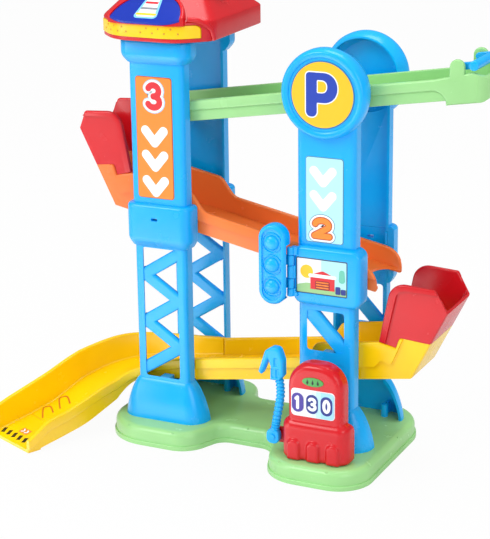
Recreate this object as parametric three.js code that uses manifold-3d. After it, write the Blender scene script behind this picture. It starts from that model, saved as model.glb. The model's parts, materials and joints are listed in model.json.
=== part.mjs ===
// Toy parking garage: two open towers on one base carry three sloping ramps and
// two catchers, so that a toy car dropped on the top ramp rolls down to the exit.
// Millimetres, +Z up. X runs from the left tower to the right one, the front looks
// along -Y, and the origin lies on the base's underside midway between the towers.
import * as THREE from 'three';
import { mergeVertices } from 'three/addons/utils/BufferGeometryUtils.js';
import Module from 'manifold-3d';

const wasm = await Module();
wasm.setup();

// Driving sizes

const fit = { gap: 0.3, overrun: 3, arcSteps: 2, fineSteps: 4 };

const base = {
  height: 19, wall: 2.6, flangeHeight: 4.5, flangeReach: 1.6, edge: 2.6,
  padHalfLength: 60, padDepth: 86, padCorner: 50, innerCorner: 30, padInner: 45,
  pumpShelfDepth: 112, shelfCorner: 35, shelfInner: 52, shelfInnerCorner: 42,
  waistHalfLength: 28, waistHalfDepth: 44, waistCorner: 16,
  ribThickness: 2.4, ribDistance: 52, levelPadRadius: 9,
};

const tower = {
  axisDistance: 180, halfWidth: 29, panelHalfWidth: 30, face: 51, rim: 37, wall: 2.6, corner: 5,
  footHalfWidth: 46.5, footFace: 61, footTop: 60, footCorner: 20,
  leftJoint: 240, rightJoint: 218, roofSeat: 411.2,
};

const lattice = {
  leg: 9.5, depth: 6.4, edge: 1.7, sink: 0.9, corner: 1.8, windowLow: 63,
  leftTop: 200, leftStrut: 12.5, strutDistance: 24.8, leftLowest: 71.6, leftStruts: 5,
  rightTop: 158, rightStrut: 15.5, rightBarTop: 117, rightBar: 12,
};

const collar = {
  bulge: 6, shoulder: 5, topDrop: 4, leftLow: 202, leftHigh: 246, rightLow: 165, rightHigh: 223,
  slotWidth: 7, slotHeight: 2.8, slotBelowTop: 13.5, leftSlot: -2.4, rightSlot: -6.3,
  topHeight: 24, topBulge: 4.6,
};

const billboard = {
  leftHalf: 31.6, rightHalf: 38, face: 58, corner: 9, edge: 4,
  printWidth: 53, printHeight: 35.5, printRise: 194.4, printShift: -1.2, printCorner: 1.5, recess: 1,
};

const disc = {
  rise: 371.5, radius: 43.2, ringRadius: 36.8, artRadius: 32.2, face: 61, dish: 2.4, roll: 5,
};

const ramp = {
  halfWidth: 36.3, skirtInset: 2.5, rail: 10.5, railThickness: 5, floor: 2.6, edge: 1.2,
  skirtDrop: 3, tabWidth: 6, tabHeight: 2, tabRise: 8.2, tabReach: 8, socketWall: 2,
};

const topRamp = {
  left: -116, right: 241, leftBottom: 320.6, slope: 0.155, height: 20.8, proudRun: 51,
  proudDrop: 4, proudRise: 3.4, archRadius: 12, endCorner: 14, dip: 8, dipHalfWidth: 22,
  postInset: 29, postHalfWidth: 7, postTop: 408.8, pinDrop: 7.3, pinBoreDepth: 3,
};

const middleRamp = {
  facing: -1, edge: -128.5, edgeBottom: 230.9, climb: 0.2, height: 23.4, endGap: 3,
  tallHeight: 40, tallRun: 67, tallFall: 14, floorRun: 22.2, endRadius: 21,
  catcherCorner: 52, catcherEnd: 39, tabShift: 14,
};

const lowerRamp = {
  facing: 1, edge: 139, edgeBottom: 90.1, climb: 0.155, length: 200.6, height: 23.2,
  tallHeight: 38.5, tallRun: 66, tallFall: 10, floorRun: 33.7, endRadius: 0,
  catcherCorner: 56, catcherEnd: 36, tabRise: 28.5, lapReach: 8, lapThickness: 2.2, lapHalfWidth: 22,
};

const catcher = {
  rise: 61.5, frontLean: 12, crown: 17, backDrop: 2.5, backRadius: 3.5, rimWidth: 6.6,
  notchRun: 17.5, notchDrop: 4, notchLean: 3.5, notchRise: 10.5, notchRadius: 3, capDrop: 2.4,
  leanShare: 0.5, corner: 7, recessNotchRise: 20, recessTongueRun: 13, recessTongueRise: 17,
  tongueLow: 9, tongueHigh: 8, tongueThickness: 2, tongueStart: 3.5, tongueEnd: 13.2,
};

const exitRamp = {
  straight: 60.5, bend: 60, turn: 65.6, tail: 112, startFloor: 64.3, innerStart: 82.4,
  outerStart: 82.6, skirtDrop: 1.6, footLength: 15, railEdge: 1.5, sections: 20, tabDrop: 1.2,
};
// Heights at equal steps along the run, as shares of the heights at its start
const floorShares = [1, 0.944, 0.891, 0.84, 0.739, 0.588, 0.428, 0.277, 0.19, 0.118, 0.05];
const outerShares = [1, 0.982, 0.961, 0.942, 0.914, 0.817, 0.727, 0.619, 0.528, 0.44, 0.35];
const innerShares = [1, 0.94, 0.862, 0.765, 0.71, 0.649, 0.583, 0.49, 0.4, 0.335, 0.17];

const gate = {
  radius: 4.6, halfSpan: 36, reach: 15.5, rise: 2.5, armInner: 26.4, armThickness: 3.2,
  armHalfHeight: 3.4, pinRadius: 2.4,
};

const light = {
  x: 42, rise: 204.5, height: 79.5, width: 28.4, front: 71, back: 56, rim: 2.6, recess: 1.8,
  domeRadius: 7.4, domeRise: 4, ringRadius: 10.3, ringWidth: 1.2, domeDistance: 22, edge: 3, split: 62,
  hingeX: 57.5, hingeY: 60.5, knuckle: 3.4, knuckleLength: 10, knuckleSpread: 11.6,
  lugLength: 7.6, lugReach: 6.5, pinRadius: 1.4, shell: 2.2, notch: 6.8,
};

const pump = {
  x: 96.5, shelfMargin: 19, depth: 17, halfWidth: 27.5, skirtHalfWidth: 33, skirtTop: 56, top: 117,
  archCorner: 24, edge: 4, skirtCorner: 9, shoulder: 7, lobeRadius: 8, lobeDistance: 20.5, lobeTop: 41,
  lobeProud: 3, lobeCorner: 6.5, lobeEdge: 2.4, wall: 2.6, displayWidth: 45.5, displayHeight: 28,
  displayRise: 78.5, displayShift: -1.2, displayProud: 1.2, displayCorner: 3,
  badgeWidth: 22, badgeHeight: 9, badgeRise: 100.8, badgeProud: 1.6,
  lugHeight: 16, lugThickness: 3.4, screwReach: 20,
};

const hose = {
  pivotX: 51.3, pivotRise: 37, behindFront: 5, eyeHalf: 6.6, eyeHeight: 7.4, eyeCorner: 5.5,
  eyeThickness: 8, radius: 3.6, rib: 0.8, ribs: 16, pinRadius: 2, pinHead: 2.9, headHeight: 1,
  gripThickness: 10, gripEdge: 1.4, gripHalfWidth: 9, gripLow: 96, gripTop: 129.5, gripX: 54.5,
  sides: 8,
};
// The hose's own bends, as [x, z] points chosen by eye
const hoseRoute = [
  [52.1, 42], [53.4, 48], [54.7, 56], [56.9, 68], [58.7, 80], [58.5, 90], [57.1, 99],
];

const roof = {
  halfWidth: 61, sideLength: 44, halfLength: 71, bowWidth: 34, sideCorner: 22, bowCorner: 40,
  rearHalfWidth: 57.5, rearLength: 76, rearCorner: 10,
  wall: 2.6, lip: 1.2, bandRise: 4, bandHeight: 12.5, bandProud: 0.8,
  bandSink: 0.8, bandReach: 30, bandRight: 52, eavesRise: 18.5, crownRise: 49.5,
  crownHalfWidth: 32, crownHalfLength: 25, badgeRadius: 40.5, badgeRidge: 3.5, badgeLean: 34,
  badgeDeep: 12, badgeSink: 2.4, signX: 33, signHalfWidth: 21, signHalfLength: 15, signRise: 3,
  signRim: 2.6, plate: 2.4, plugDrop: 9, plugWall: 2, screwX: 40, screwY: 22,
};

const screw = { headRadius: 3.2, headHeight: 2, shaftRadius: 1.5, length: 13, bossRadius: 3.6 };

const sticker = {
  thickness: 0.5, threeWidth: 40, threeLow: 252, threeHigh: 374, threeShift: -2,
  twoWidth: 38.8, twoLow: 226.6, twoHigh: 310.5, twoShift: -1, corner: 3,
};

// Materials

const plastic = (color) => new THREE.MeshStandardMaterial({ color, roughness: 0.35, metalness: 0 });
const blue = plastic(0x38b6ff);
const green = plastic(0xa0dc96);
const orange = plastic(0xff9a3c);
const yellow = plastic(0xffd500);
const red = plastic(0xe22a30);
const deepBlue = plastic(0x0a3fc4);
const print = plastic(0xf4f7fa);
const steel = new THREE.MeshStandardMaterial({ color: 0xb8bcc2, roughness: 0.35, metalness: 1 });

// Solids

function solid(geometry) {
  const bare = geometry.clone();
  bare.deleteAttribute('normal');
  bare.deleteAttribute('uv');
  const merged = mergeVertices(bare);
  return new wasm.Manifold(new wasm.Mesh({
    numProp: 3,
    vertProperties: new Float32Array(merged.attributes.position.array),
    triVerts: new Uint32Array(merged.index.array),
  }));
}

const join = (...pieces) => pieces.reduce((whole, piece) => whole.add(piece));
const cut = (whole, ...pieces) => pieces.reduce((rest, piece) => rest.subtract(piece), whole);

function surface(manifold) {
  const mesh = manifold.getMesh();
  const geometry = new THREE.BufferGeometry();
  const places = new Float32Array(mesh.numVert * 3);
  for (let i = 0; i < mesh.numVert; i += 1) {
    for (let k = 0; k < 3; k += 1) places[3 * i + k] = mesh.vertProperties[mesh.numProp * i + k];
  }
  geometry.setAttribute('position', new THREE.BufferAttribute(places, 3));
  geometry.setIndex(Array.from(mesh.triVerts));
  return geometry;
}

// A closed outline from anticlockwise corners [x, y, radius], drawn in by an inset
function outline(corners, inset = 0, steps = fit.arcSteps) {
  const points = [];
  corners.forEach(([x, y, radius = 0], i) => {
    const [px, py] = corners.at(i - 1);
    const [nx, ny] = corners[(i + 1) % corners.length];
    const into = new THREE.Vector2(x - px, y - py).normalize();
    const out = new THREE.Vector2(nx - x, ny - y).normalize();
    const turn = Math.atan2(into.cross(out), into.dot(out));
    const shift = inset / (1 + into.dot(out));
    const apex = new THREE.Vector2(x - shift * (into.y + out.y), y + shift * (into.x + out.x));
    const side = Math.sign(turn) || 1;
    const round = Math.max(radius - side * inset, 0);
    if (radius === 0 || round === 0) {
      points.push(apex);
      return;
    }
    const start = apex.clone().addScaledVector(into, -round * Math.tan(Math.abs(turn) / 2));
    const centre = new THREE.Vector2(start.x - side * round * into.y, start.y + side * round * into.x);
    for (let k = 0; k <= steps; k += 1) {
      points.push(start.clone().rotateAround(centre, turn * k / steps));
    }
  });
  return points;
}

function circle(x, y, radius, sides) {
  return Array.from({ length: sides }, (_, i) => {
    const angle = 2 * Math.PI * i / sides;
    return new THREE.Vector2(x + radius * Math.cos(angle), y + radius * Math.sin(angle));
  });
}

const axes = {
  x: new THREE.Matrix4().makeBasis(
    new THREE.Vector3(0, 1, 0), new THREE.Vector3(0, 0, 1), new THREE.Vector3(1, 0, 0)),
  y: new THREE.Matrix4().makeBasis(
    new THREE.Vector3(1, 0, 0), new THREE.Vector3(0, 0, 1), new THREE.Vector3(0, -1, 0)),
  z: new THREE.Matrix4(),
};

// An outline pushed along an axis: (x, y) along z, (x, z) along y or (y, z) along x
function prism(axis, points, low, high, edge = 0) {
  const geometry = new THREE.ExtrudeGeometry(new THREE.Shape(points), {
    depth: high - low - 2 * edge, steps: 1, curveSegments: 1,
    bevelEnabled: edge > 0, bevelThickness: edge, bevelSize: edge, bevelOffset: -edge,
    bevelSegments: 1,
  });
  geometry.translate(0, 0, axis === 'y' ? edge - high : low + edge);
  return solid(geometry.applyMatrix4(axes[axis] ?? axis));
}

const box = (x0, x1, y0, y1, z0, z1) => (
  prism('z', outline([[x0, y0], [x1, y0], [x1, y1], [x0, y1]]), z0, z1));

const rod = (axis, a, b, radius, low, high, sides = 12) => (
  prism(axis, circle(a, b, radius, sides), low, high));

// A skin over rings of equal length, with both ends capped
function loft(rings, caps) {
  const count = rings[0].length;
  const places = rings.flat().flatMap((point) => point.toArray());
  const faces = [];
  for (let i = 0; i + 1 < rings.length; i += 1) {
    for (let j = 0; j < count; j += 1) {
      const a = i * count + j;
      const b = i * count + (j + 1) % count;
      faces.push(a, b, b + count, a, b + count, a + count);
    }
  }
  const last = (rings.length - 1) * count;
  const [lower, upper] = caps.map((cap) => THREE.ShapeUtils.triangulateShape(cap, []));
  lower.forEach(([a, b, c]) => faces.push(a, c, b));
  upper.forEach(([a, b, c]) => faces.push(last + a, last + b, last + c));
  const geometry = new THREE.BufferGeometry();
  geometry.setAttribute('position', new THREE.Float32BufferAttribute(places, 3));
  geometry.setIndex(faces);
  return solid(geometry);
}

// Rings of outlines stacked up the Z axis: [[z, points], ...]
function stack(levels) {
  const rings = levels.map(([z, points]) => points.map((p) => new THREE.Vector3(p.x, p.y, z)));
  return loft(rings, [levels[0][1], levels.at(-1)[1]]);
}

function lathe(profile, segments, axis) {
  const geometry = new THREE.LatheGeometry(profile.map(([r, h]) => new THREE.Vector2(r, h)), segments);
  geometry.rotateX(Math.PI / 2);
  return solid(geometry.applyMatrix4(axes[axis]));
}

// Base

const half = tower.axisDistance / 2;
const padOuter = half + base.padHalfLength;

const baseCorners = [
  [-padOuter, -base.padDepth, base.padCorner],
  [-base.padInner, -base.padDepth, base.innerCorner],
  [-base.waistHalfLength, -base.waistHalfDepth, base.waistCorner],
  [base.waistHalfLength, -base.waistHalfDepth, base.waistCorner],
  [base.shelfInner, -base.pumpShelfDepth, base.shelfInnerCorner],
  [padOuter, -base.pumpShelfDepth, base.shelfCorner],
  [padOuter, base.padDepth, base.padCorner],
  [base.padInner, base.padDepth, base.innerCorner],
  [base.waistHalfLength, base.waistHalfDepth, base.waistCorner],
  [-base.waistHalfLength, base.waistHalfDepth, base.waistCorner],
  [-base.padInner, base.padDepth, base.innerCorner],
  [-padOuter, base.padDepth, base.padCorner],
];

const screwX = tower.halfWidth - screw.bossRadius;
const screwY = (tower.face + tower.rim) / 2 + fit.gap;
const pumpFront = base.pumpShelfDepth - pump.shelfMargin;
const pumpBack = pumpFront - pump.depth;
const screwPumpY = (pumpFront + pumpBack) / 2;
const screwPlaces = [
  ...[-1, 1].flatMap((side) => [-1, 1].flatMap((end) => [-1, 1].map((way) => (
    [side * half + way * screwX, end * screwY])))),
  ...[-1, 1].map((way) => [pump.x + way * pump.screwReach, -screwPumpY]),
];

const screwSeat = base.height - base.wall - screw.headHeight / 2;

function baseTray() {
  const skirt = prism('z', outline(baseCorners, 0, fit.fineSteps), 0, base.flangeHeight);
  const body = prism('z', outline(baseCorners, base.flangeReach, fit.fineSteps), 0, base.height,
    base.edge);
  const hollow = prism('z', outline(baseCorners, base.flangeReach + base.wall), -fit.overrun,
    base.height - base.wall);
  const inside = prism('z', outline(baseCorners, base.flangeReach + base.wall / 2), 0,
    base.height - base.wall / 2);
  const ribTop = base.height - base.wall / 2;
  const ribs = [-half - base.ribDistance / 2, -half + base.ribDistance / 2, 0,
    half - base.ribDistance / 2, half + base.ribDistance / 2]
    .map((x) => box(x - base.ribThickness / 2, x + base.ribThickness / 2,
      -base.pumpShelfDepth, base.pumpShelfDepth, fit.gap, ribTop));
  const spine = box(-padOuter, padOuter, -base.ribThickness / 2, base.ribThickness / 2, fit.gap, ribTop);
  const seat = rod('z', 0, 0, base.levelPadRadius, 0, ribTop, 24);
  const bosses = screwPlaces.map(([x, y]) => rod('z', x, y, screw.headRadius + base.wall, base.height / 2,
    ribTop, 6));
  const bores = screwPlaces.flatMap(([x, y]) => [
    rod('z', x, y, screw.shaftRadius + fit.gap, 0, base.height + fit.overrun, 6),
    rod('z', x, y, screw.headRadius + fit.gap, 0, screwSeat + fit.gap, 6),
  ]);
  const shell = cut(join(skirt, body), hollow);
  const inner = join(...ribs, spine, ...bosses).intersect(inside);
  return cut(join(shell, inner, seat), ...bores);
}

// A pan-headed screw driven upwards, its head's upper side at the given height
function screwAt(x, y, seat) {
  return join(
    rod('z', x, y, screw.headRadius, seat - screw.headHeight, seat, 6),
    rod('z', x, y, screw.shaftRadius, seat - screw.headHeight / 2,
      seat + screw.length - screw.headHeight, 6),
  );
}

// Towers: every column is drawn as a front one about its own tower's axis

const openHalf = tower.halfWidth - lattice.leg;

const section = (halfWidth, face, rim, corner = 0) => outline([
  [-halfWidth, -rim], [-halfWidth, -face, corner], [halfWidth, -face, corner], [halfWidth, -rim],
]);

function channel(halfWidth, low, high) {
  const outer = prism('z', section(halfWidth, tower.face, tower.rim, tower.corner), low, high);
  const inner = prism('z', section(halfWidth - tower.wall, tower.face - tower.wall,
    tower.rim - fit.overrun), low - fit.overrun, high + fit.overrun);
  return { outer, inner };
}

// The bell foot flares from the column down to the base, between a cone and an ellipse
const footShares = [0, 0.4, 0.7, 0.9, 1];
const footPower = 1.4;

function foot(inset, sunk) {
  const top = tower.footTop - inset;
  return stack(footShares.map((share) => {
    const swell = (1 - share ** footPower) ** (1 / footPower);
    const halfWidth = tower.halfWidth + (tower.footHalfWidth - tower.halfWidth) * swell - inset;
    const face = tower.face + (tower.footFace - tower.face) * swell - inset;
    const corner = tower.corner + (tower.footCorner - tower.corner) * swell - inset;
    const z = base.height + (top - base.height) * share - (share === 0 ? sunk : 0);
    return [z, section(halfWidth, face, tower.rim - sunk, corner)];
  }));
}

// A half-round strut between two places of the front wall
function strut([x0, z0], [x1, z1], width) {
  const run = new THREE.Vector2(x1 - x0, z1 - z0).setLength(lattice.leg / 2);
  const over = new THREE.Vector2(-run.y, run.x).setLength(width / 2);
  const corners = [
    [x0 - run.x - over.x, z0 - run.y - over.y], [x1 + run.x - over.x, z1 + run.y - over.y],
    [x1 + run.x + over.x, z1 + run.y + over.y], [x0 - run.x + over.x, z0 - run.y + over.y],
  ];
  const face = lattice.sink - tower.face;
  return prism('y', outline(corners), face, face + lattice.depth, lattice.edge);
}

function leftStruts() {
  const places = Array.from({ length: lattice.leftStruts + 1 }, (_, i) => (
    [i % 2 === 0 ? -openHalf : openHalf, lattice.leftLowest + i * lattice.strutDistance]));
  return places.slice(1).map((place, i) => strut(places[i], place, lattice.leftStrut));
}

function rightStruts(way) {
  const lower = lattice.rightBarTop - lattice.rightBar;
  return [
    strut([-way * openHalf, lattice.rightTop], [way * openHalf, lattice.rightBarTop],
      lattice.rightStrut),
    strut([way * openHalf, lower], [-way * openHalf, lattice.windowLow], lattice.rightStrut),
  ];
}

const windowCut = ([low, high]) => prism('y', outline([
  [-openHalf, low, lattice.corner], [openHalf, low, lattice.corner],
  [openHalf, high, lattice.corner], [-openHalf, high, lattice.corner],
]), -tower.footFace - fit.overrun, fit.overrun - tower.rim);

// A blind socket in the column that holds a ramp's tab: { x, z } is the tab's centre
function socket({ x, z, face = tower.face - tower.wall / 2 }) {
  const halfWidth = ramp.tabWidth / 2 + fit.gap + ramp.socketWall;
  const halfHeight = ramp.tabHeight / 2 + fit.gap + ramp.socketWall;
  return box(x - halfWidth, x + halfWidth, -face, -tower.rim, z - halfHeight, z + halfHeight);
}

function socketBore({ x, z }) {
  const halfWidth = ramp.tabWidth / 2 + fit.gap;
  const halfHeight = ramp.tabHeight / 2 + fit.gap;
  const end = ramp.halfWidth + ramp.tabReach + fit.gap;
  return box(x - halfWidth, x + halfWidth, -end, fit.overrun - tower.rim, z - halfHeight, z + halfHeight);
}

const slotCut = (x, top) => box(
  x - collar.slotWidth / 2, x + collar.slotWidth / 2, -billboard.face - fit.overrun,
  fit.overrun - tower.rim, top - collar.slotBelowTop - collar.slotHeight, top - collar.slotBelowTop);

function column({ joint, windows, struts, sockets, slot, collarHigh }) {
  const shell = channel(tower.halfWidth, base.height, joint);
  const bossTop = base.height + screw.length + fit.gap;
  const body = foot(0, 0);
  const bosses = join(...[-1, 1].map((way) => join(
    rod('z', way * screwX, -screwY, screw.bossRadius, base.height, bossTop, 8),
    box(way * screwX - tower.wall / 2, way * screwX + tower.wall / 2, -tower.footFace, -screwY,
      base.height, bossTop)))).intersect(body);
  const bores = [-1, 1].map((way) => (
    rod('z', way * screwX, -screwY, screw.shaftRadius + fit.gap, 0, bossTop + fit.overrun, 6)));
  const hollow = cut(join(body, shell.outer), foot(tower.wall, fit.overrun), shell.inner,
    ...windows.map(windowCut));
  return cut(join(hollow, ...struts, bosses, ...sockets.map(socket)), ...bores,
    slotCut(slot, collarHigh), ...sockets.map(socketBore));
}

// A collar's bulge as shares of its full swell, from its lower edge to its upper one
const collarShares = [[0, 0.25], [0.35, 0.62], [1, 1]];
// The same at the collar's upper edge, from its rounding's start to its top
const collarTopShares = [[1, 1], [0.25, 0.75], [0, 0.35]];

function collarBody(halfWidth, face, low, high, bulge) {
  const ring = (share) => section(halfWidth - bulge * (1 - share), face - bulge * (1 - share),
    tower.rim, tower.corner + bulge * share);
  const levels = collarShares.map(([up, share]) => [low + collar.shoulder * 2 * up, ring(share)]);
  collarTopShares.forEach(([down, share]) => levels.push([high - collar.topDrop * down, ring(share)]));
  return stack(levels);
}

function printPlate(grow, low, high) {
  const halfWidth = billboard.printWidth / 2 + grow;
  const halfHeight = billboard.printHeight / 2 + grow;
  const x = billboard.printShift;
  const z = billboard.printRise;
  return prism('y', outline([
    [x - halfWidth, z - halfHeight, billboard.printCorner],
    [x + halfWidth, z - halfHeight, billboard.printCorner],
    [x + halfWidth, z + halfHeight, billboard.printCorner],
    [x - halfWidth, z + halfHeight, billboard.printCorner],
  ]), low, high);
}

// The billboard is a broad square collar whose left edge carries the light's hinge lugs
function billboardCollar() {
  const frame = prism('y', outline([
    [-billboard.leftHalf, collar.rightLow, billboard.corner],
    [billboard.rightHalf, collar.rightLow, billboard.corner],
    [billboard.rightHalf, collar.rightHigh, billboard.corner],
    [-billboard.leftHalf, collar.rightHigh, billboard.corner],
  ]), -billboard.face, -tower.rim, billboard.edge);
  const hingeX = light.hingeX - half;
  const lugs = lugSpans().map(([low, high]) => join(
    rod('z', hingeX, -light.hingeY, light.knuckle, low, high),
    box(hingeX, hingeX + light.lugReach, -light.hingeY, light.lugReach - light.hingeY, low, high)));
  const bore = rod('z', hingeX, -light.hingeY, light.pinRadius + fit.gap, collar.rightLow,
    collar.rightHigh, 12);
  const recess = printPlate(fit.gap, -billboard.face - fit.overrun, billboard.recess - billboard.face);
  return cut(join(frame, ...lugs), bore, recess);
}

// The round head of the right tower: a dished plate in a rolled rim
function discBody() {
  const { radius, ringRadius, artRadius, face, dish, roll } = disc;
  return lathe([
    [0, tower.rim], [radius - roll / 4, tower.rim], [radius, tower.rim + roll / 4],
    [radius, face - roll], [radius - roll / 3, face - roll / 3],
    [radius - roll, face], [ringRadius, face - roll / 8],
    [(ringRadius + artRadius) / 2, face - dish], [0, face - dish],
  ], 28, 'y').translate([0, 0, disc.rise]);
}

function discHollow() {
  const inner = disc.radius - tower.wall;
  const plate = disc.face - disc.dish - tower.wall;
  return lathe([
    [0, tower.rim - fit.overrun], [inner, tower.rim - fit.overrun], [inner, plate - disc.roll / 2],
    [inner - disc.roll / 2, plate], [0, plate],
  ], 28, 'y').translate([0, 0, disc.rise]);
}

function panel({ joint, top, collarLow, collarHigh, slot, sockets, hasBillboard, hasDisc }) {
  const shell = channel(tower.panelHalfWidth, joint + fit.gap, top);
  const sleeve = prism('z', section(tower.halfWidth + fit.gap, tower.face + fit.gap,
    tower.rim - fit.overrun, tower.corner), collarLow - fit.overrun, joint + fit.gap);
  const lower = hasBillboard
    ? billboardCollar()
    : collarBody(tower.panelHalfWidth + collar.bulge, tower.face + collar.bulge, collarLow,
      collarHigh, collar.bulge);
  const upper = hasDisc
    ? discBody()
    : collarBody(tower.panelHalfWidth + collar.topBulge, tower.face + collar.topBulge,
      top - collar.topHeight, top, collar.topBulge);
  const hollow = cut(join(shell.outer, lower, upper), shell.inner, sleeve,
    ...(hasDisc ? [discHollow()] : []));
  return cut(join(hollow, ...sockets.map(socket)), slotCut(slot, collarHigh),
    ...sockets.map(socketBore));
}

// Ramps

// The middle ramp ends just short of the lower ramp's catcher
middleRamp.length = lowerRamp.edge - middleRamp.endGap - middleRamp.edge;

const insideHalf = ramp.halfWidth - ramp.railThickness;
const skirtHalf = ramp.halfWidth - ramp.skirtInset;
const bothSides = (make) => join(...[-1, 1].map(make));

// A slab between two distances from the mid-plane, on one side of it
function sideSlab(points, way, near, far, edge = 0) {
  return prism('y', points, way > 0 ? near : -far, way > 0 ? far : -near, edge);
}

function tabs(x, z) {
  return bothSides((way) => {
    const near = way * (skirtHalf - ramp.edge);
    const far = way * (ramp.halfWidth + ramp.tabReach);
    return box(x - ramp.tabWidth / 2, x + ramp.tabWidth / 2, Math.min(near, far), Math.max(near, far),
      z - ramp.tabHeight / 2, z + ramp.tabHeight / 2);
  });
}

const topRampAt = (x, up = 0) => topRamp.leftBottom + topRamp.slope * (x - topRamp.left) + up;
const postX = topRamp.right - topRamp.postInset;
const pinRise = topRamp.postTop - topRamp.pinDrop;

function topRampBody() {
  const { left, right, height, proudRun, proudDrop, proudRise, endCorner, archRadius } = topRamp;
  const proudStart = right - proudRun;
  const place = (corners) => outline(corners.map(([x, up, r]) => [x, topRampAt(x, up), r]));
  const low = topRampAt(left, -height);
  const high = topRampAt(right, 2 * height);
  const start = left - fit.overrun;
  const end = right + fit.overrun;
  const profile = prism('y', place([
    [left, 0], [proudStart, 0], [proudStart, -proudDrop], [right, -proudDrop, endCorner / 2],
    [right, height - proudDrop, endCorner / 2], [right - endCorner, height + proudRise, endCorner / 2],
    [proudStart, height], [left, height],
  ]), -ramp.halfWidth, ramp.halfWidth, ramp.edge);
  const plan = (x0, x1, halfWidth, corner) => prism('z', outline([
    [x0, -halfWidth], [x1, -halfWidth, corner], [x1, halfWidth, corner], [x0, halfWidth],
  ]), low, high);
  const floor = prism('y', place([
    [start, ramp.skirtDrop], [end, ramp.skirtDrop], [end, ramp.skirtDrop + ramp.floor],
    [start, ramp.skirtDrop + ramp.floor],
  ]), -ramp.halfWidth, ramp.halfWidth);
  const hollow = cut(plan(start, right - ramp.railThickness, insideHalf,
    endCorner - ramp.railThickness), floor);
  const recess = bothSides((way) => sideSlab(place([
    [start, -height], [proudStart + archRadius, -height],
    [proudStart + archRadius, height - ramp.rail, archRadius], [start, height - ramp.rail],
  ]), way, skirtHalf, ramp.halfWidth + fit.overrun));
  const rimTop = topRampAt(right, height);
  const dip = prism('x', outline([
    [-topRamp.dipHalfWidth / 2, rimTop - topRamp.dip, topRamp.dip],
    [topRamp.dipHalfWidth / 2, rimTop - topRamp.dip, topRamp.dip],
    [topRamp.dipHalfWidth, rimTop + height], [-topRamp.dipHalfWidth, rimTop + height],
  ]), right - 2 * ramp.railThickness, end);
  const { postHalfWidth, postTop } = topRamp;
  const postLow = topRampAt(postX, height / 2);
  const posts = bothSides((way) => sideSlab(outline([
    [postX - postHalfWidth, postLow], [postX + postHalfWidth, postLow],
    [postX + postHalfWidth, postTop, postHalfWidth - fit.gap],
    [postX - postHalfWidth, postTop, postHalfWidth - fit.gap],
  ]), way, insideHalf, ramp.halfWidth, ramp.edge));
  const boreHalf = insideHalf + topRamp.pinBoreDepth;
  const bore = rod('y', postX, pinRise, gate.pinRadius + fit.gap, -boreHalf, boreHalf);
  const tabPlaces = [-half, half].map((x) => tabs(x, topRampAt(x, ramp.tabRise)));
  const body = cut(profile.intersect(plan(left, right, ramp.halfWidth, endCorner)), hollow, recess, dip);
  return cut(join(body, posts, ...tabPlaces), bore);
}

// A catcher ramp is drawn by [run, rise]: run outwards from the edge where its catcher
// starts, rise from the ramp's underside there. "facing" is the way that it climbs along X.
const binX = (piece, run) => piece.edge + piece.facing * run;
const binRise = (piece, x, up = 0) => piece.edgeBottom + piece.climb * piece.facing * (x - piece.edge) + up;

function binOutline(piece, corners, steps) {
  const placed = corners.map(([run, rise, r]) => [binX(piece, run), piece.edgeBottom + rise, r]);
  return outline(piece.facing > 0 ? placed : placed.reverse(), 0, steps);
}

const onSlope = (piece, run, up, r) => [run, piece.climb * run + up, r];
const binFoot = (piece) => piece.climb * piece.floorRun;
const onEnd = (piece, rise, r) => (
  [piece.floorRun + catcher.leanShare * (rise - binFoot(piece)), rise, r]);

// A box whose outer end leans outwards like the catcher's end wall
function leaningBlock(piece, inner, outer, halfWidth, corner) {
  const high = piece.tallHeight + 2 * catcher.rise;
  const corners = [
    [inner, -halfWidth], [outer, -halfWidth, corner], [outer, halfWidth, corner], [inner, halfWidth],
  ].map(([run, y, r]) => [binX(piece, run), y, r]);
  const foot0 = piece.edgeBottom + binFoot(piece);
  const lean = new THREE.Matrix4().makeTranslation(0, 0, foot0)
    .multiply(new THREE.Matrix4().makeShear(0, 0, 0, 0, piece.facing * catcher.leanShare, 0));
  return prism(lean, outline(piece.facing > 0 ? corners : corners.reverse()), -high, high);
}

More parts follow.
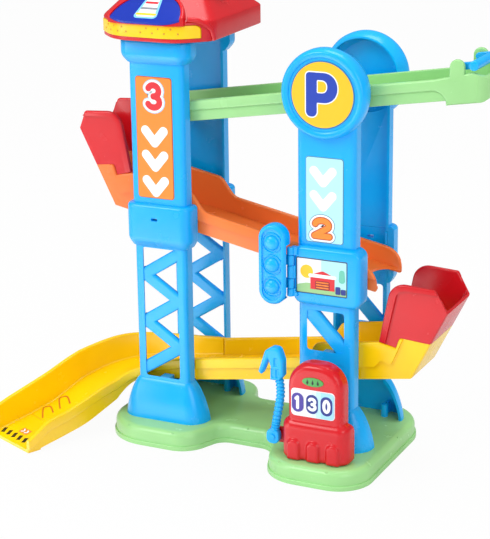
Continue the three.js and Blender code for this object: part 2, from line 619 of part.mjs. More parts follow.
function catcherRamp(piece) {
  const { length, height, tallHeight, tallRun, tallFall, floorRun, endRadius } = piece;
  const { notchRun, notchDrop, notchLean, notchRise, notchRadius, capDrop } = catcher;
  const start = -length - fit.overrun;
  const far = floorRun + tallHeight + 2 * catcher.rise;
  const cap = tallHeight - notchDrop + notchRise;
  const profile = prism('y', binOutline(piece, [
    onSlope(piece, -length, 0, endRadius > 0 ? 2 * ramp.edge : 0),
    onSlope(piece, floorRun, 0, notchRadius), onEnd(piece, cap - capDrop),
    [notchRun + notchLean, cap, notchRadius], [notchRun, tallHeight - notchDrop],
    [0, tallHeight], onSlope(piece, -tallRun, tallHeight, tallFall),
    onSlope(piece, -tallRun - tallFall, height, tallFall), onSlope(piece, -length, height, endRadius),
  ]), -ramp.halfWidth, ramp.halfWidth, ramp.edge);
  const block = leaningBlock(piece, start, floorRun, ramp.halfWidth, catcher.corner);
  const floor = prism('y', binOutline(piece, [
    onSlope(piece, start, ramp.skirtDrop), onSlope(piece, far, ramp.skirtDrop),
    onSlope(piece, far, ramp.skirtDrop + ramp.floor), onSlope(piece, start, ramp.skirtDrop + ramp.floor),
  ]), -ramp.halfWidth, ramp.halfWidth);
  const hollow = cut(leaningBlock(piece, start, floorRun - ramp.railThickness / 2, insideHalf,
    catcher.corner - ramp.railThickness / 2), floor);
  const railLow = height - ramp.rail;
  const recess = bothSides((way) => sideSlab(binOutline(piece, [
    onSlope(piece, start, -tallHeight), onSlope(piece, far, -tallHeight), [far, tallHeight + catcher.rise],
    [notchRun + catcher.leanShare * catcher.rise, tallHeight + catcher.rise],
    [catcher.recessTongueRun, catcher.recessTongueRise, notchRadius],
    [notchDrop / 2, catcher.recessNotchRise, notchRadius], [-notchDrop, railLow, notchRadius],
    onSlope(piece, start, railLow),
  ]), way, skirtHalf, ramp.halfWidth + fit.overrun));
  return cut(profile.intersect(block), hollow, recess);
}

function catcherHood(piece) {
  const { notchRun, notchDrop, notchLean, notchRise, notchRadius, capDrop, rimWidth } = catcher;
  const rim = piece.tallHeight + fit.gap;
  const cap = rim - notchDrop + notchRise;
  const top = rim + catcher.rise;
  const cheek = prism('y', binOutline(piece, [
    [0, rim], [notchRun - fit.gap, rim - notchDrop], [notchRun + notchLean - fit.gap, cap, notchRadius],
    onEnd(piece, cap - capDrop), onEnd(piece, rim + piece.catcherEnd),
    [piece.catcherCorner, top - catcher.backDrop, catcher.backRadius],
    [catcher.frontLean, top, catcher.crown],
  ], fit.fineSteps), -ramp.halfWidth, ramp.halfWidth, ramp.edge);
  const start = -piece.tallRun;
  const block = leaningBlock(piece, start, piece.floorRun, ramp.halfWidth, catcher.corner);
  const hollow = leaningBlock(piece, start, piece.floorRun - ramp.railThickness / 2, insideHalf,
    catcher.corner - ramp.railThickness / 2);
  const far = piece.catcherCorner + catcher.rise;
  const recess = bothSides((way) => sideSlab(binOutline(piece, [
    [rimWidth - notchDrop / 2, rim - notchRise], [far, rim - notchRise],
    [far, top - rimWidth - catcher.backDrop], [catcher.frontLean + rimWidth, top - rimWidth,
      catcher.crown - rimWidth],
  ], fit.fineSteps), way, skirtHalf, ramp.halfWidth + fit.overrun));
  const inner = insideHalf - fit.gap - catcher.tongueThickness;
  const tongues = bothSides((way) => join(
    sideSlab(binOutline(piece, [
      [catcher.tongueStart, rim - catcher.tongueLow], [catcher.tongueEnd, rim - catcher.tongueLow],
      [catcher.tongueEnd, rim + catcher.tongueHigh], [catcher.tongueStart, rim + catcher.tongueHigh],
    ]), way, inner, insideHalf - fit.gap),
    sideSlab(binOutline(piece, [
      [catcher.tongueStart, rim + fit.gap], [catcher.tongueEnd, rim + fit.gap],
      [catcher.tongueEnd, rim + catcher.tongueHigh], [catcher.tongueStart, rim + catcher.tongueHigh],
    ]), way, inner, insideHalf + ramp.edge)));
  return join(cut(cheek.intersect(block), hollow, recess), tongues);
}

const middleTabX = { left: -half + middleRamp.tabShift, right: half };

function middleRampBody() {
  return join(catcherRamp(middleRamp), ...Object.values(middleTabX)
    .map((x) => tabs(x, binRise(middleRamp, x, ramp.tabRise))));
}

// The lower ramp's left end rests on the exit ramp by a tongue under that ramp's floor
function lowerRampBody() {
  const left = lowerRamp.edge - lowerRamp.length;
  const soffit = (run) => exitFloor(run) - ramp.floor - fit.gap;
  const low = soffit(lowerRamp.lapReach) - lowerRamp.lapThickness;
  const tongue = prism('y', outline([
    [left - lowerRamp.lapReach, low], [left + lowerRamp.lapReach, low],
    [left + lowerRamp.lapReach, soffit(0) + ramp.floor], [left, soffit(0) + ramp.floor],
    [left, soffit(0) - fit.gap], [left - lowerRamp.lapReach, soffit(lowerRamp.lapReach) - fit.gap],
  ]), -lowerRamp.lapHalfWidth, lowerRamp.lapHalfWidth);
  return join(catcherRamp(lowerRamp), tongue, tabs(half, binRise(lowerRamp, half, lowerRamp.tabRise)));
}

// Exit ramp: a straight run to the left, a bend to the front and a straight run to the floor

const exitStart = lowerRamp.edge - lowerRamp.length - fit.gap;
const exitTurn = THREE.MathUtils.degToRad(exitRamp.turn);
const exitLength = exitRamp.straight + exitRamp.bend * exitTurn + exitRamp.tail;

// Place and heading at a distance along the centreline
function exitAt(run) {
  const arc = THREE.MathUtils.clamp(run - exitRamp.straight, 0, exitRamp.bend * exitTurn);
  const angle = arc / exitRamp.bend;
  const heading = new THREE.Vector3(-Math.cos(angle), -Math.sin(angle), 0);
  const place = new THREE.Vector3(
    exitStart - Math.min(run, exitRamp.straight) - exitRamp.bend * Math.sin(angle),
    exitRamp.bend * (Math.cos(angle) - 1), 0);
  const rest = Math.max(run - exitRamp.straight - exitRamp.bend * exitTurn, 0);
  return { place: place.addScaledVector(heading, rest), left: new THREE.Vector3(-heading.y, heading.x, 0) };
}

function heightAt(run, start, shares) {
  const curve = new THREE.SplineCurve(shares.map((share) => new THREE.Vector2(0, start * share)));
  return curve.getPoint(THREE.MathUtils.clamp(run / exitLength, 0, 1)).y;
}

const exitFloor = (run) => heightAt(run, exitRamp.startFloor, floorShares);

function exitSection(run, grounded) {
  const floor = exitFloor(run);
  const outer = heightAt(run, exitRamp.outerStart, outerShares);
  const inner = heightAt(run, exitRamp.innerStart, innerShares);
  const soffit = grounded ? 0 : floor - ramp.floor;
  const under = grounded ? 0 : Math.max(soffit - exitRamp.skirtDrop, 0);
  const edge = exitRamp.railEdge;
  const points = [
    [-skirtHalf, under], [-insideHalf, under], [-insideHalf, soffit], [insideHalf, soffit],
    [insideHalf, under], [skirtHalf, under], [skirtHalf, inner - ramp.rail],
    [ramp.halfWidth, inner - ramp.rail + edge], [ramp.halfWidth, inner - edge],
    [ramp.halfWidth - edge, inner], [insideHalf + edge, inner], [insideHalf, inner - edge],
    [insideHalf, floor], [-insideHalf, floor], [-insideHalf, outer - edge],
    [-insideHalf - edge, outer], [edge - ramp.halfWidth, outer], [-ramp.halfWidth, outer - edge],
    [-ramp.halfWidth, outer - ramp.rail + edge], [-skirtHalf, outer - ramp.rail],
  ].filter(([, z], i) => !(grounded && i > 0 && i < 5 && z === 0));
  const { place, left } = exitAt(run);
  return {
    flat: points.map(([a, z]) => new THREE.Vector2(a, z)),
    ring: points.map(([a, z]) => place.clone().addScaledVector(left, a).setZ(z)),
  };
}

function exitRun(from, to, steps, grounded) {
  const sections = Array.from({ length: steps + 1 }, (_, i) => (
    exitSection(from + (to - from) * i / steps, grounded)));
  return loft(sections.map((s) => s.ring), [sections[0].flat, sections.at(-1).flat]);
}

const exitTabZ = exitFloor(exitStart + half) - ramp.floor + exitRamp.tabDrop;

function exitRampBody() {
  return join(exitRun(0, exitLength, exitRamp.sections, false),
    exitRun(exitLength - exitRamp.footLength, exitLength, 3, true),
    tabs(-half, exitTabZ));
}

// Gate: a crossbar on two arms that swing on pins in the top ramp's posts
function gateBar() {
  const barX = postX + gate.reach;
  const barZ = pinRise + gate.rise;
  const bar = prism('y', circle(barX, barZ, gate.radius, 14), -gate.halfSpan, gate.halfSpan,
    gate.radius / 3);
  const arms = bothSides((way) => {
    const over = new THREE.Vector2(-gate.rise, gate.reach).setLength(gate.armHalfHeight);
    const arm = sideSlab(outline([
      [postX + over.x, pinRise - over.y], [barX + over.x, barZ - over.y],
      [barX - over.x, barZ + over.y], [postX - over.x, pinRise + over.y],
    ]), way, gate.armInner, gate.armInner + gate.armThickness);
    const hub = sideSlab(circle(postX, pinRise, gate.armHalfHeight, 16), way, gate.armInner,
      gate.armInner + gate.armThickness);
    const pin = sideSlab(circle(postX, pinRise, gate.pinRadius, 16), way, gate.armInner,
      insideHalf + topRamp.pinBoreDepth - fit.gap);
    return join(arm, hub, pin);
  });
  return join(bar, arms);
}

// Traffic light: a front and a back shell that swing on a pin at the billboard's edge

const lightCorners = (inset = 0) => outline([
  [light.x - light.width / 2, light.rise - light.height / 2, light.width / 2],
  [light.x + light.width / 2, light.rise - light.height / 2, light.width / 2],
  [light.x + light.width / 2, light.rise + light.height / 2, light.width / 2],
  [light.x - light.width / 2, light.rise + light.height / 2, light.width / 2],
].map(([x, z, r]) => [x, z, r - fit.gap]), inset, fit.fineSteps);

function knuckleSpans() {
  return [-1, 1].map((way) => {
    const middle = light.rise - light.domeDistance / 3 + way * light.knuckleSpread;
    return [middle - light.knuckleLength / 2, middle + light.knuckleLength / 2];
  });
}

// The frame's lugs stand above, between and below the light's two knuckles
function lugSpans() {
  const [[low0, high0], [low1, high1]] = knuckleSpans();
  return [
    [low0 - fit.gap - light.lugLength, low0 - fit.gap],
    [high0 + fit.gap, low1 - fit.gap],
    [high1 + fit.gap, high1 + fit.gap + light.lugLength],
  ];
}

function lightNotch() {
  const spans = lugSpans();
  return box(light.hingeX - light.notch, light.hingeX + light.width, -light.hingeY - light.notch,
    -light.hingeY + light.width, spans[0][0] - light.rim, spans[2][1] + light.rim);
}

// A dome's profile as shares of its radius and of its rise
const domeShares = [[1, 0], [0.87, 0.5], [0.5, 0.87], [0, 1]];
const domeRises = [-1, 0, 1].map((step) => light.rise + step * light.domeDistance);

function lightFront() {
  const body = prism('y', lightCorners(), -light.front, 2 * light.edge - light.split, light.edge)
    .intersect(prism('y', lightCorners(-light.edge), -light.front - fit.overrun, -light.split));
  const dish = prism('y', lightCorners(light.rim + light.rim / 2), -light.front - fit.overrun,
    light.recess - light.front);
  const hollow = prism('y', lightCorners(light.shell), light.recess + light.shell - light.front,
    fit.overrun - light.split);
  const face = light.front - light.recess;
  const domes = domeRises.flatMap((z) => [
    lathe([
      [0, face - light.shell / 2], [light.domeRadius, face - light.shell / 2],
      ...domeShares.map(([out, up]) => [light.domeRadius * out, face + light.domeRise * up]),
    ], 14, 'y').translate([light.x, 0, z]),
    lathe([
      [light.ringRadius - light.ringWidth, face - light.shell / 2],
      [light.ringRadius, face - light.shell / 2], [light.ringRadius, face + light.ringWidth],
      [light.ringRadius - light.ringWidth, face + light.ringWidth],
      [light.ringRadius - light.ringWidth, face - light.shell / 2],
    ], 18, 'y').translate([light.x, 0, z]),
  ]);
  return join(cut(body, dish, hollow, lightNotch()), ...domes);
}

function lightBack() {
  const split = light.split - fit.gap;
  const full = prism('y', lightCorners(), -split - light.edge, -light.back, light.edge);
  const body = full.intersect(prism('y', lightCorners(-light.edge), -split, fit.overrun - light.back));
  const hollow = prism('y', lightCorners(light.shell), -split - fit.overrun, -light.back - light.shell);
  const wallX = light.hingeX - light.notch;
  const knuckles = knuckleSpans().map(([low, high]) => join(
    rod('z', light.hingeX, -light.hingeY, light.knuckle, low, high),
    box(wallX - light.shell, light.hingeX, -light.hingeY - light.shell / 2,
      light.shell / 2 - light.hingeY, low, high)));
  const spans = lugSpans();
  const backing = box(wallX - light.shell, wallX, -split, -light.back - light.edge,
    spans[0][0] - light.rim, spans[2][1] + light.rim);
  const shell = cut(join(cut(body, hollow), backing), lightNotch());
  const bore = rod('z', light.hingeX, -light.hingeY, light.pinRadius + fit.gap, spans[0][0],
    spans[2][1], 12);
  return cut(join(shell, ...knuckles), bore);
}

function lightPin() {
  const spans = lugSpans();
  return rod('z', light.hingeX, -light.hingeY, light.pinRadius, spans[0][0], spans[2][1], 12);
}

// Petrol pump

const pumpFoot = base.height + fit.gap;
const hoseY = hose.behindFront - pumpFront;
const hoseSpan = [hoseY - hose.eyeThickness / 2, hoseY + hose.eyeThickness / 2];
const lugY = [hoseSpan[1] + fit.gap, hoseSpan[1] + fit.gap + pump.lugThickness];

function pumpOutline(inset) {
  const { x, halfWidth, skirtHalfWidth, skirtTop, skirtCorner, shoulder, top, archCorner } = pump;
  return outline([
    [x - skirtHalfWidth, pumpFoot], [x + skirtHalfWidth, pumpFoot],
    [x + skirtHalfWidth, skirtTop, skirtCorner], [x + halfWidth, skirtTop + shoulder, shoulder / 2],
    [x + halfWidth, top, archCorner], [x - halfWidth, top, archCorner],
    [x - halfWidth, skirtTop + shoulder, shoulder / 2], [x - skirtHalfWidth, skirtTop, skirtCorner],
  ], inset);
}

const pumpLobes = [-1, 0, 1].map((step) => pump.x + step * pump.lobeDistance);

function pumpHousing() {
  const { wall, lobeRadius, lobeTop, lobeProud, lobeCorner, lobeEdge } = pump;
  const front = pumpFront;
  const back = pumpBack;
  const body = prism('y', pumpOutline(0), -front, -back, pump.edge)
    .intersect(prism('y', pumpOutline(0), -front - fit.overrun, fit.overrun - back));
  const lobes = pumpLobes.map((x) => prism('y', outline([
    [x - lobeRadius, pumpFoot], [x + lobeRadius, pumpFoot],
    [x + lobeRadius, lobeTop, lobeCorner], [x - lobeRadius, lobeTop, lobeCorner],
  ]), -front - lobeProud, -front + pump.edge, lobeEdge));
  const floorCut = box(-padOuter, padOuter, -base.pumpShelfDepth, 0, 0, pumpFoot);
  const hollow = prism('y', pumpOutline(wall + fit.gap), wall - front, -back - wall)
    .add(box(pump.x - pump.skirtHalfWidth + wall, pump.x + pump.skirtHalfWidth - wall,
      wall - front, -back - wall, 0, pumpFoot + wall * 2));
  const bossTop = base.height + screw.length + fit.gap;
  const bosses = [-1, 1].map((way) => way * pump.screwReach + pump.x).map((x) => join(
    rod('z', x, -screwPumpY, screw.bossRadius, pumpFoot, bossTop, 10),
    box(x - wall / 2, x + wall / 2, -screwPumpY, -back - wall / 2, pumpFoot, bossTop)));
  const bores = [-1, 1].map((way) => rod('z', pump.x + way * pump.screwReach, -screwPumpY,
    screw.shaftRadius + fit.gap, 0, base.height + screw.length + fit.overrun, 8));
  const lugX = hose.pivotX - hose.eyeHalf;
  const lug = prism('y', outline([
    [lugX, hose.pivotRise - pump.lugHeight / 2, pump.lugHeight / 4],
    [pump.x - pump.halfWidth, hose.pivotRise - pump.lugHeight / 2],
    [pump.x - pump.halfWidth, hose.pivotRise + pump.lugHeight / 2],
    [lugX, hose.pivotRise + pump.lugHeight / 2, pump.lugHeight / 4],
  ]), lugY[0], lugY[1], ramp.edge / 2);
  const lugBore = rod('y', hose.pivotX, hose.pivotRise, hose.pinRadius + fit.gap,
    lugY[0] - fit.overrun, lugY[1] + fit.overrun, 12);
  const shell = cut(join(body, ...lobes), hollow, floorCut);
  return cut(join(shell, ...bosses, lug), ...bores, lugBore);
}

function pumpPlate(x, z, width, height, corner, proud) {
  return prism('y', outline([
    [x - width / 2, z - height / 2, corner], [x + width / 2, z - height / 2, corner],
    [x + width / 2, z + height / 2, corner], [x - width / 2, z + height / 2, corner],
  ]), -pumpFront - proud, -pumpFront, proud / 3);
}

const pumpDisplay = () => pumpPlate(pump.x + pump.displayShift, pump.displayRise, pump.displayWidth,
  pump.displayHeight, pump.displayCorner, pump.displayProud);
const pumpBadge = () => pumpPlate(pump.x + pump.displayShift, pump.badgeRise, pump.badgeWidth,
  pump.badgeHeight, pump.badgeHeight / 2 - fit.gap, pump.badgeProud);

// Fuel hose: eye, ribbed hose and nozzle in one moulding

// The nozzle's outline as shares of its grip's half width and of its height
const nozzleShares = [
  [-0.55, 0, 0], [0.55, 0, 0], [1, 0.16, 0.3], [1, 0.62, 0.4], [0.5, 1, 0.6], [-0.35, 1, 0.6],
  [-1.15, 0.86, 0.3], [-1.95, 0.2, 0], [-1.55, 0.12, 0], [-0.75, 0.62, 0], [-0.5, 0.4, 0],
];

function hoseTube() {
  const curve = new THREE.CatmullRomCurve3(hoseRoute.map(([x, z]) => new THREE.Vector3(x, hoseY, z)));
  const count = 2 * hose.ribs;
  const across = new THREE.Vector3(0, 1, 0);
  const rings = Array.from({ length: count + 1 }, (_, i) => {
    const share = i / count;
    const centre = curve.getPointAt(share);
    const up = curve.getTangentAt(share).cross(across);
    const radius = hose.radius + (i % 2 === 0 ? 0 : hose.rib);
    return circle(0, 0, radius, hose.sides).map((p) => (
      centre.clone().addScaledVector(across, p.x).addScaledVector(up, p.y)));
  });
  const flat = circle(0, 0, hose.radius, hose.sides);
  return loft(rings, [flat, flat]);
}

function fuelHose() {
  const { pivotX, pivotRise, eyeHalf, eyeHeight, eyeCorner } = hose;
  const { gripX, gripLow, gripTop, gripHalfWidth } = hose;
  const eye = prism('y', outline([
    [pivotX - eyeHalf, pivotRise - eyeHeight, eyeCorner],
    [pivotX + eyeHalf, pivotRise - eyeHeight, eyeCorner],
    [pivotX + eyeHalf, pivotRise + eyeHeight, eyeHeight / 3],
    [pivotX - eyeHalf, pivotRise + eyeHeight, eyeHeight / 3],
  ]), hoseSpan[0], hoseSpan[1], ramp.edge);
  const nozzle = prism('y', outline(nozzleShares.map(([across, up, round]) => [
    gripX + gripHalfWidth * across, gripLow + (gripTop - gripLow) * up, gripHalfWidth * round,
  ])), hoseY - hose.gripThickness / 2, hoseY + hose.gripThickness / 2, hose.gripEdge);
  const bore = rod('y', pivotX, pivotRise, hose.pinRadius + fit.gap, hoseSpan[0] - fit.overrun,
    hoseSpan[1] + fit.overrun, 12);
  return cut(join(eye, hoseTube(), nozzle), bore);
}

function hosePin() {
  const head = hoseSpan[0] - fit.gap;
  return join(
    rod('y', hose.pivotX, hose.pivotRise, hose.pinRadius, head - hose.headHeight / 2, lugY[1], 12),
    rod('y', hose.pivotX, hose.pivotRise, hose.pinHead, head - hose.headHeight, head, 14));
}

// Roof over the left tower, drawn about that tower's axis

const roofLow = tower.roofSeat + fit.gap;
const bandLow = roofLow + roof.bandRise;
const bandHigh = bandLow + roof.bandHeight;
const eaves = roofLow + roof.eavesRise;
const roofTop = roofLow + roof.crownRise;

function roofPlan(inset, widthShare = 1, lengthShare = 1) {
  const { halfWidth, sideLength, halfLength, bowWidth, sideCorner, bowCorner } = roof;
  const { rearHalfWidth, rearLength, rearCorner } = roof;
  return outline([
    [-halfWidth, -sideLength, sideCorner], [-bowWidth, -halfLength, bowCorner],
    [bowWidth, -halfLength, bowCorner], [halfWidth, -sideLength, sideCorner],
    [rearHalfWidth, rearLength, rearCorner], [-rearHalfWidth, rearLength, rearCorner],
  ], inset).map((p) => new THREE.Vector2(p.x * widthShare, p.y * lengthShare));
}

// The hood's slope as shares of its rise above the eaves and of its narrowing to the crown
const roofShares = [[0, 0], [0.05, 0.03], [0.92, 0.86], [1, 1]];

function roofHood(inset, low) {
  const { halfWidth, halfLength, crownHalfWidth, crownHalfLength, lip } = roof;
  const levels = [[low, roofPlan(inset + (inset > 0 ? 0 : lip))]];
  if (inset === 0) levels.push([low + lip, roofPlan(0)]);
  roofShares.forEach(([up, narrow]) => {
    const widthShare = 1 - narrow * (1 - crownHalfWidth / halfWidth);
    const lengthShare = 1 - narrow * (1 - crownHalfLength / halfLength);
    levels.push([eaves + (roofTop - inset - eaves) * up, roofPlan(inset, widthShare, lengthShare)]);
  });
  return stack(levels);
}

function roofBandRing(grow) {
  const low = bandLow - grow;
  const high = bandHigh + grow;
  const ring = cut(prism('z', roofPlan(-roof.bandProud - grow), low, high),
    prism('z', roofPlan(roof.bandSink + grow), low - fit.overrun, high + fit.overrun));
  const front = box(-roof.halfWidth * 2, roof.bandRight + grow, -roof.halfLength * 2,
    grow - roof.bandReach, low - fit.overrun, high + fit.overrun);
  return ring.intersect(front);
}

// The badge lies on the hood's front slope: x across, y up the slope, z out of it
const badgeFrame = new THREE.Matrix4().makeTranslation(0, -roof.halfLength, eaves)
  .multiply(new THREE.Matrix4().makeRotationX(THREE.MathUtils.degToRad(roof.badgeLean)));

function halfDisc(radius, low, high, edge = 0, drop = 0) {
  const steps = 5 * fit.arcSteps;
  const arc = Array.from({ length: steps + 1 }, (_, i) => {
    const angle = Math.PI * i / steps;
    return new THREE.Vector2(radius * Math.cos(angle), radius * Math.sin(angle));
  });
  if (drop > 0) arc.push(new THREE.Vector2(-radius, -drop), new THREE.Vector2(radius, -drop));
  return prism(badgeFrame, arc, low, high, edge);
}

const plateLow = tower.roofSeat + fit.gap;
const plateHigh = plateLow + roof.plate;
const roofScrewPlaces = [-1, 1].flatMap((side) => [-1, 1].map((end) => (
  [side * roof.screwX, end * roof.screwY])));

function roofShell() {
  const { badgeRadius, badgeRidge, badgeSink, badgeDeep, wall } = roof;
  const ridge = halfDisc(badgeRadius + badgeRidge, -badgeDeep, badgeRidge, badgeRidge / 3, badgeRidge);
  const pocket = halfDisc(badgeRadius + fit.gap, badgeRidge - badgeSink - fit.gap,
    badgeRidge + fit.overrun);
  const hollow = roofHood(wall, roofLow - fit.overrun);
  const bosses = join(...roofScrewPlaces.map(([x, y]) => (
    rod('z', x, y, screw.bossRadius, plateHigh + fit.gap, roofTop, 12))))
    .intersect(roofHood(wall / 2, roofLow));
  const bores = roofScrewPlaces.map(([x, y]) => (
    rod('z', x, y, screw.shaftRadius + fit.gap, plateLow, plateLow + screw.length + fit.overrun, 8)));
  const hood = cut(join(roofHood(0, roofLow), ridge.intersect(prism('z', roofPlan(-badgeRidge),
    bandHigh, roofTop + badgeRidge))), hollow, pocket);
  return cut(join(hood, bosses), roofBandRing(fit.gap), ...bores);
}

const roofBand = () => roofBandRing(0);

const roofBadge = () => halfDisc(roof.badgeRadius, roof.badgeRidge - roof.badgeSink,
  roof.badgeRidge - roof.badgeSink / 3);

// The plate closes the hood from below and plugs into the two column tops
function roofUnderside() {
  const plate = prism('z', roofPlan(roof.wall + fit.gap), plateLow, plateHigh);
  const halfWidth = tower.panelHalfWidth - tower.wall - fit.gap;
  const face = tower.face - tower.wall - fit.gap;
  const low = tower.roofSeat - roof.plugDrop;
  const near = tower.rim + roof.plugWall;
  const corner = tower.corner - tower.wall;
  const plugs = bothSides((way) => {
    const ring = (inset) => section(halfWidth - inset, face - inset, near + inset, corner)
      .map((p) => p.multiplyScalar(way));
    return cut(prism('z', ring(0), low, plateHigh),
      prism('z', ring(roof.plugWall), low - fit.overrun, plateLow));
  });
  const bores = roofScrewPlaces.map(([x, y]) => (
    rod('z', x, y, screw.shaftRadius + fit.gap, plateLow - fit.overrun, plateHigh + fit.overrun, 8)));
  return cut(join(plate, plugs), ...bores);
}

// The oval sign on the crown: a rimmed plate on a short stem
function roofSign() {
  const oval = (inset) => circle(0, 0, 1, 20).map((p) => new THREE.Vector2(
    roof.signX + p.x * (roof.signHalfWidth - inset), p.y * (roof.signHalfLength - inset)));
  const low = roofTop + fit.gap;
  const plate = prism('z', oval(0), low, low + roof.signRise, roof.signRim / 3);
  return cut(plate, prism('z', oval(roof.signRim), low + roof.signRise / 2, low + 2 * roof.signRise));
}

// Stickers and signs

function label(shift, width, low, high) {
  return prism('y', outline([
    [shift - width / 2, low, sticker.corner], [shift + width / 2, low, sticker.corner],
    [shift + width / 2, high, sticker.corner], [shift - width / 2, high, sticker.corner],
  ]), -tower.face - sticker.thickness, -tower.face);
}

const parkingSign = () => prism('y', circle(0, disc.rise, disc.artRadius, 28),
  disc.dish - disc.face - sticker.thickness, disc.dish - disc.face);

// Assembly

const garage = new THREE.Group();

function add(name, manifold, material, x = 0, turned = false) {
  const geometry = surface(manifold);
  if (turned) geometry.rotateZ(Math.PI);
  geometry.computeVertexNormals();
  const mesh = new THREE.Mesh(geometry, material);
  mesh.name = name;
  mesh.position.x = x;
  garage.add(mesh);
}

const leftSockets = (way) => ({
  column: [
    { x: 0, z: exitTabZ },
    { x: way * middleRamp.tabShift, z: binRise(middleRamp, middleTabX.left, ramp.tabRise) },
  ],
  panel: [{ x: 0, z: topRampAt(-half, ramp.tabRise) }],
});
const rightSockets = {
  column: [
    { x: 0, z: binRise(lowerRamp, half, lowerRamp.tabRise) },
    { x: 0, z: binRise(middleRamp, half, ramp.tabRise) },
  ],
  panel: [{ x: 0, z: topRampAt(half, ramp.tabRise), face: disc.face - disc.dish - tower.wall / 2 }],
};

add('base_tray', baseTray(), green);
screwPlaces.forEach(([x, y], i) => {
  add(`base_screw_${i + 1}`, screwAt(x, y, screwSeat), steel);
});

[['front', 1], ['rear', -1]].forEach(([end, way]) => {
  const turned = way < 0;
  const sockets = leftSockets(way);
  const rightLow = lattice.rightBarTop - lattice.rightBar;
  add(`${end}_left_column`, column({
    joint: tower.leftJoint, windows: [[lattice.windowLow, lattice.leftTop]], struts: leftStruts(),
    sockets: sockets.column, slot: collar.leftSlot, collarHigh: collar.leftHigh,
  }), blue, -half, turned);
  add(`${end}_right_column`, column({
    joint: tower.rightJoint, struts: rightStruts(way), sockets: rightSockets.column,
    windows: [[lattice.windowLow, rightLow], [lattice.rightBarTop, lattice.rightTop]],
    slot: collar.rightSlot, collarHigh: collar.rightHigh,
  }), blue, half, turned);
  add(`${end}_left_panel`, panel({
    joint: tower.leftJoint, top: tower.roofSeat, collarLow: collar.leftLow,
    collarHigh: collar.leftHigh, slot: collar.leftSlot, sockets: sockets.panel,
  }), blue, -half, turned);
  add(`${end}_right_panel`, panel({
    joint: tower.rightJoint, top: disc.rise, collarLow: collar.rightLow, collarHigh: collar.rightHigh,
    slot: collar.rightSlot, sockets: rightSockets.panel, hasDisc: true, hasBillboard: way > 0,
  }), blue, half, turned);
});

add('top_ramp', topRampBody(), green);
add('middle_ramp', middleRampBody(), orange);
add('lower_ramp', lowerRampBody(), yellow);
add('exit_ramp', exitRampBody(), yellow);
add('left_catcher', catcherHood(middleRamp), red);
add('right_catcher', catcherHood(lowerRamp), red);
add('gate_bar', gateBar(), blue);

add('traffic_light_front', lightFront(), blue);
add('traffic_light_back', lightBack(), blue);
add('traffic_light_pin', lightPin(), steel);

add('pump_housing', pumpHousing(), red);
add('pump_display', pumpDisplay(), print);
add('pump_badge', pumpBadge(), green);
add('fuel_hose', fuelHose(), deepBlue);
add('hose_pin', hosePin(), steel);

add('roof_shell', roofShell(), red, -half);
add('roof_underside', roofUnderside(), red, -half);
add('roof_band', roofBand(), yellow, -half);
add('roof_badge', roofBadge(), deepBlue, -half);
add('roof_sign', roofSign(), yellow, -half);
roofScrewPlaces.forEach(([x, y], i) => {
  add(`roof_screw_${i + 1}`, screwAt(x, y, plateLow - fit.gap), steel, -half);
});

add('sticker_three', label(sticker.threeShift, sticker.threeWidth, sticker.threeLow,
  sticker.threeHigh), orange, -half);
add('sticker_two', label(sticker.twoShift, sticker.twoWidth, sticker.twoLow, sticker.twoHigh),
  print, half);
add('parking_sign', parkingSign(), yellow, half);
add('billboard_print', printPlate(0, -billboard.face + billboard.recess - sticker.thickness,
  billboard.recess - billboard.face), print, half);

export default garage;
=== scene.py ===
"""Toy parking garage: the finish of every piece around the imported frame.

Lengths are written in millimetres and turned into metres where a mesh or a node takes them.
"""
import json
import math
from types import SimpleNamespace as Named

import bmesh
import bpy
from mathutils import Matrix, Vector


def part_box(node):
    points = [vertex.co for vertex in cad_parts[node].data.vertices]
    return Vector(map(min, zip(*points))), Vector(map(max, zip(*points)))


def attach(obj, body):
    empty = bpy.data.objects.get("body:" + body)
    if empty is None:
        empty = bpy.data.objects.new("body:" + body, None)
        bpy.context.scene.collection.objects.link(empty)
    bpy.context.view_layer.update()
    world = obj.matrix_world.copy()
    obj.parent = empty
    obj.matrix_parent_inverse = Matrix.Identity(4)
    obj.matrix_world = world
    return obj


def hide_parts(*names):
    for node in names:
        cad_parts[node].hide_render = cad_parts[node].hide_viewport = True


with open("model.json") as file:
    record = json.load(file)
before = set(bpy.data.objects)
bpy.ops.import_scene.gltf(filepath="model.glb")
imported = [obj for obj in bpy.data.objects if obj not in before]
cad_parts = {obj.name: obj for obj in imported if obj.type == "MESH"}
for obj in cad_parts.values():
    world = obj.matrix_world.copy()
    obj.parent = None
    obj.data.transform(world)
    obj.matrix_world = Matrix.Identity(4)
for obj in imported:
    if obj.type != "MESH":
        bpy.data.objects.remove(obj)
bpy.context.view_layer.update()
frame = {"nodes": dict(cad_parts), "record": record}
nodes = frame["nodes"]
scene = bpy.context.scene

MM = 0.001
TOWER_X = 90.0
WELD = 0.002
MERGE = 0.01
SLIVER = 0.005


def node_box(name):
    """A node's box in millimetres: lowest and highest corner."""
    low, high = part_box(name)
    return low / MM, high / MM


# Camera

PHOTO_HEIGHT_PX = 539
FOCAL_PX = 1758.24
SENSOR = 36.0
CAMERA_AT = Vector((721.31, -1530.78, 699.58))
FAR_CLIP = 20
AZIMUTH, ELEVATION, ROLL = (math.radians(a) for a in (25.85, 17.22, -0.74))


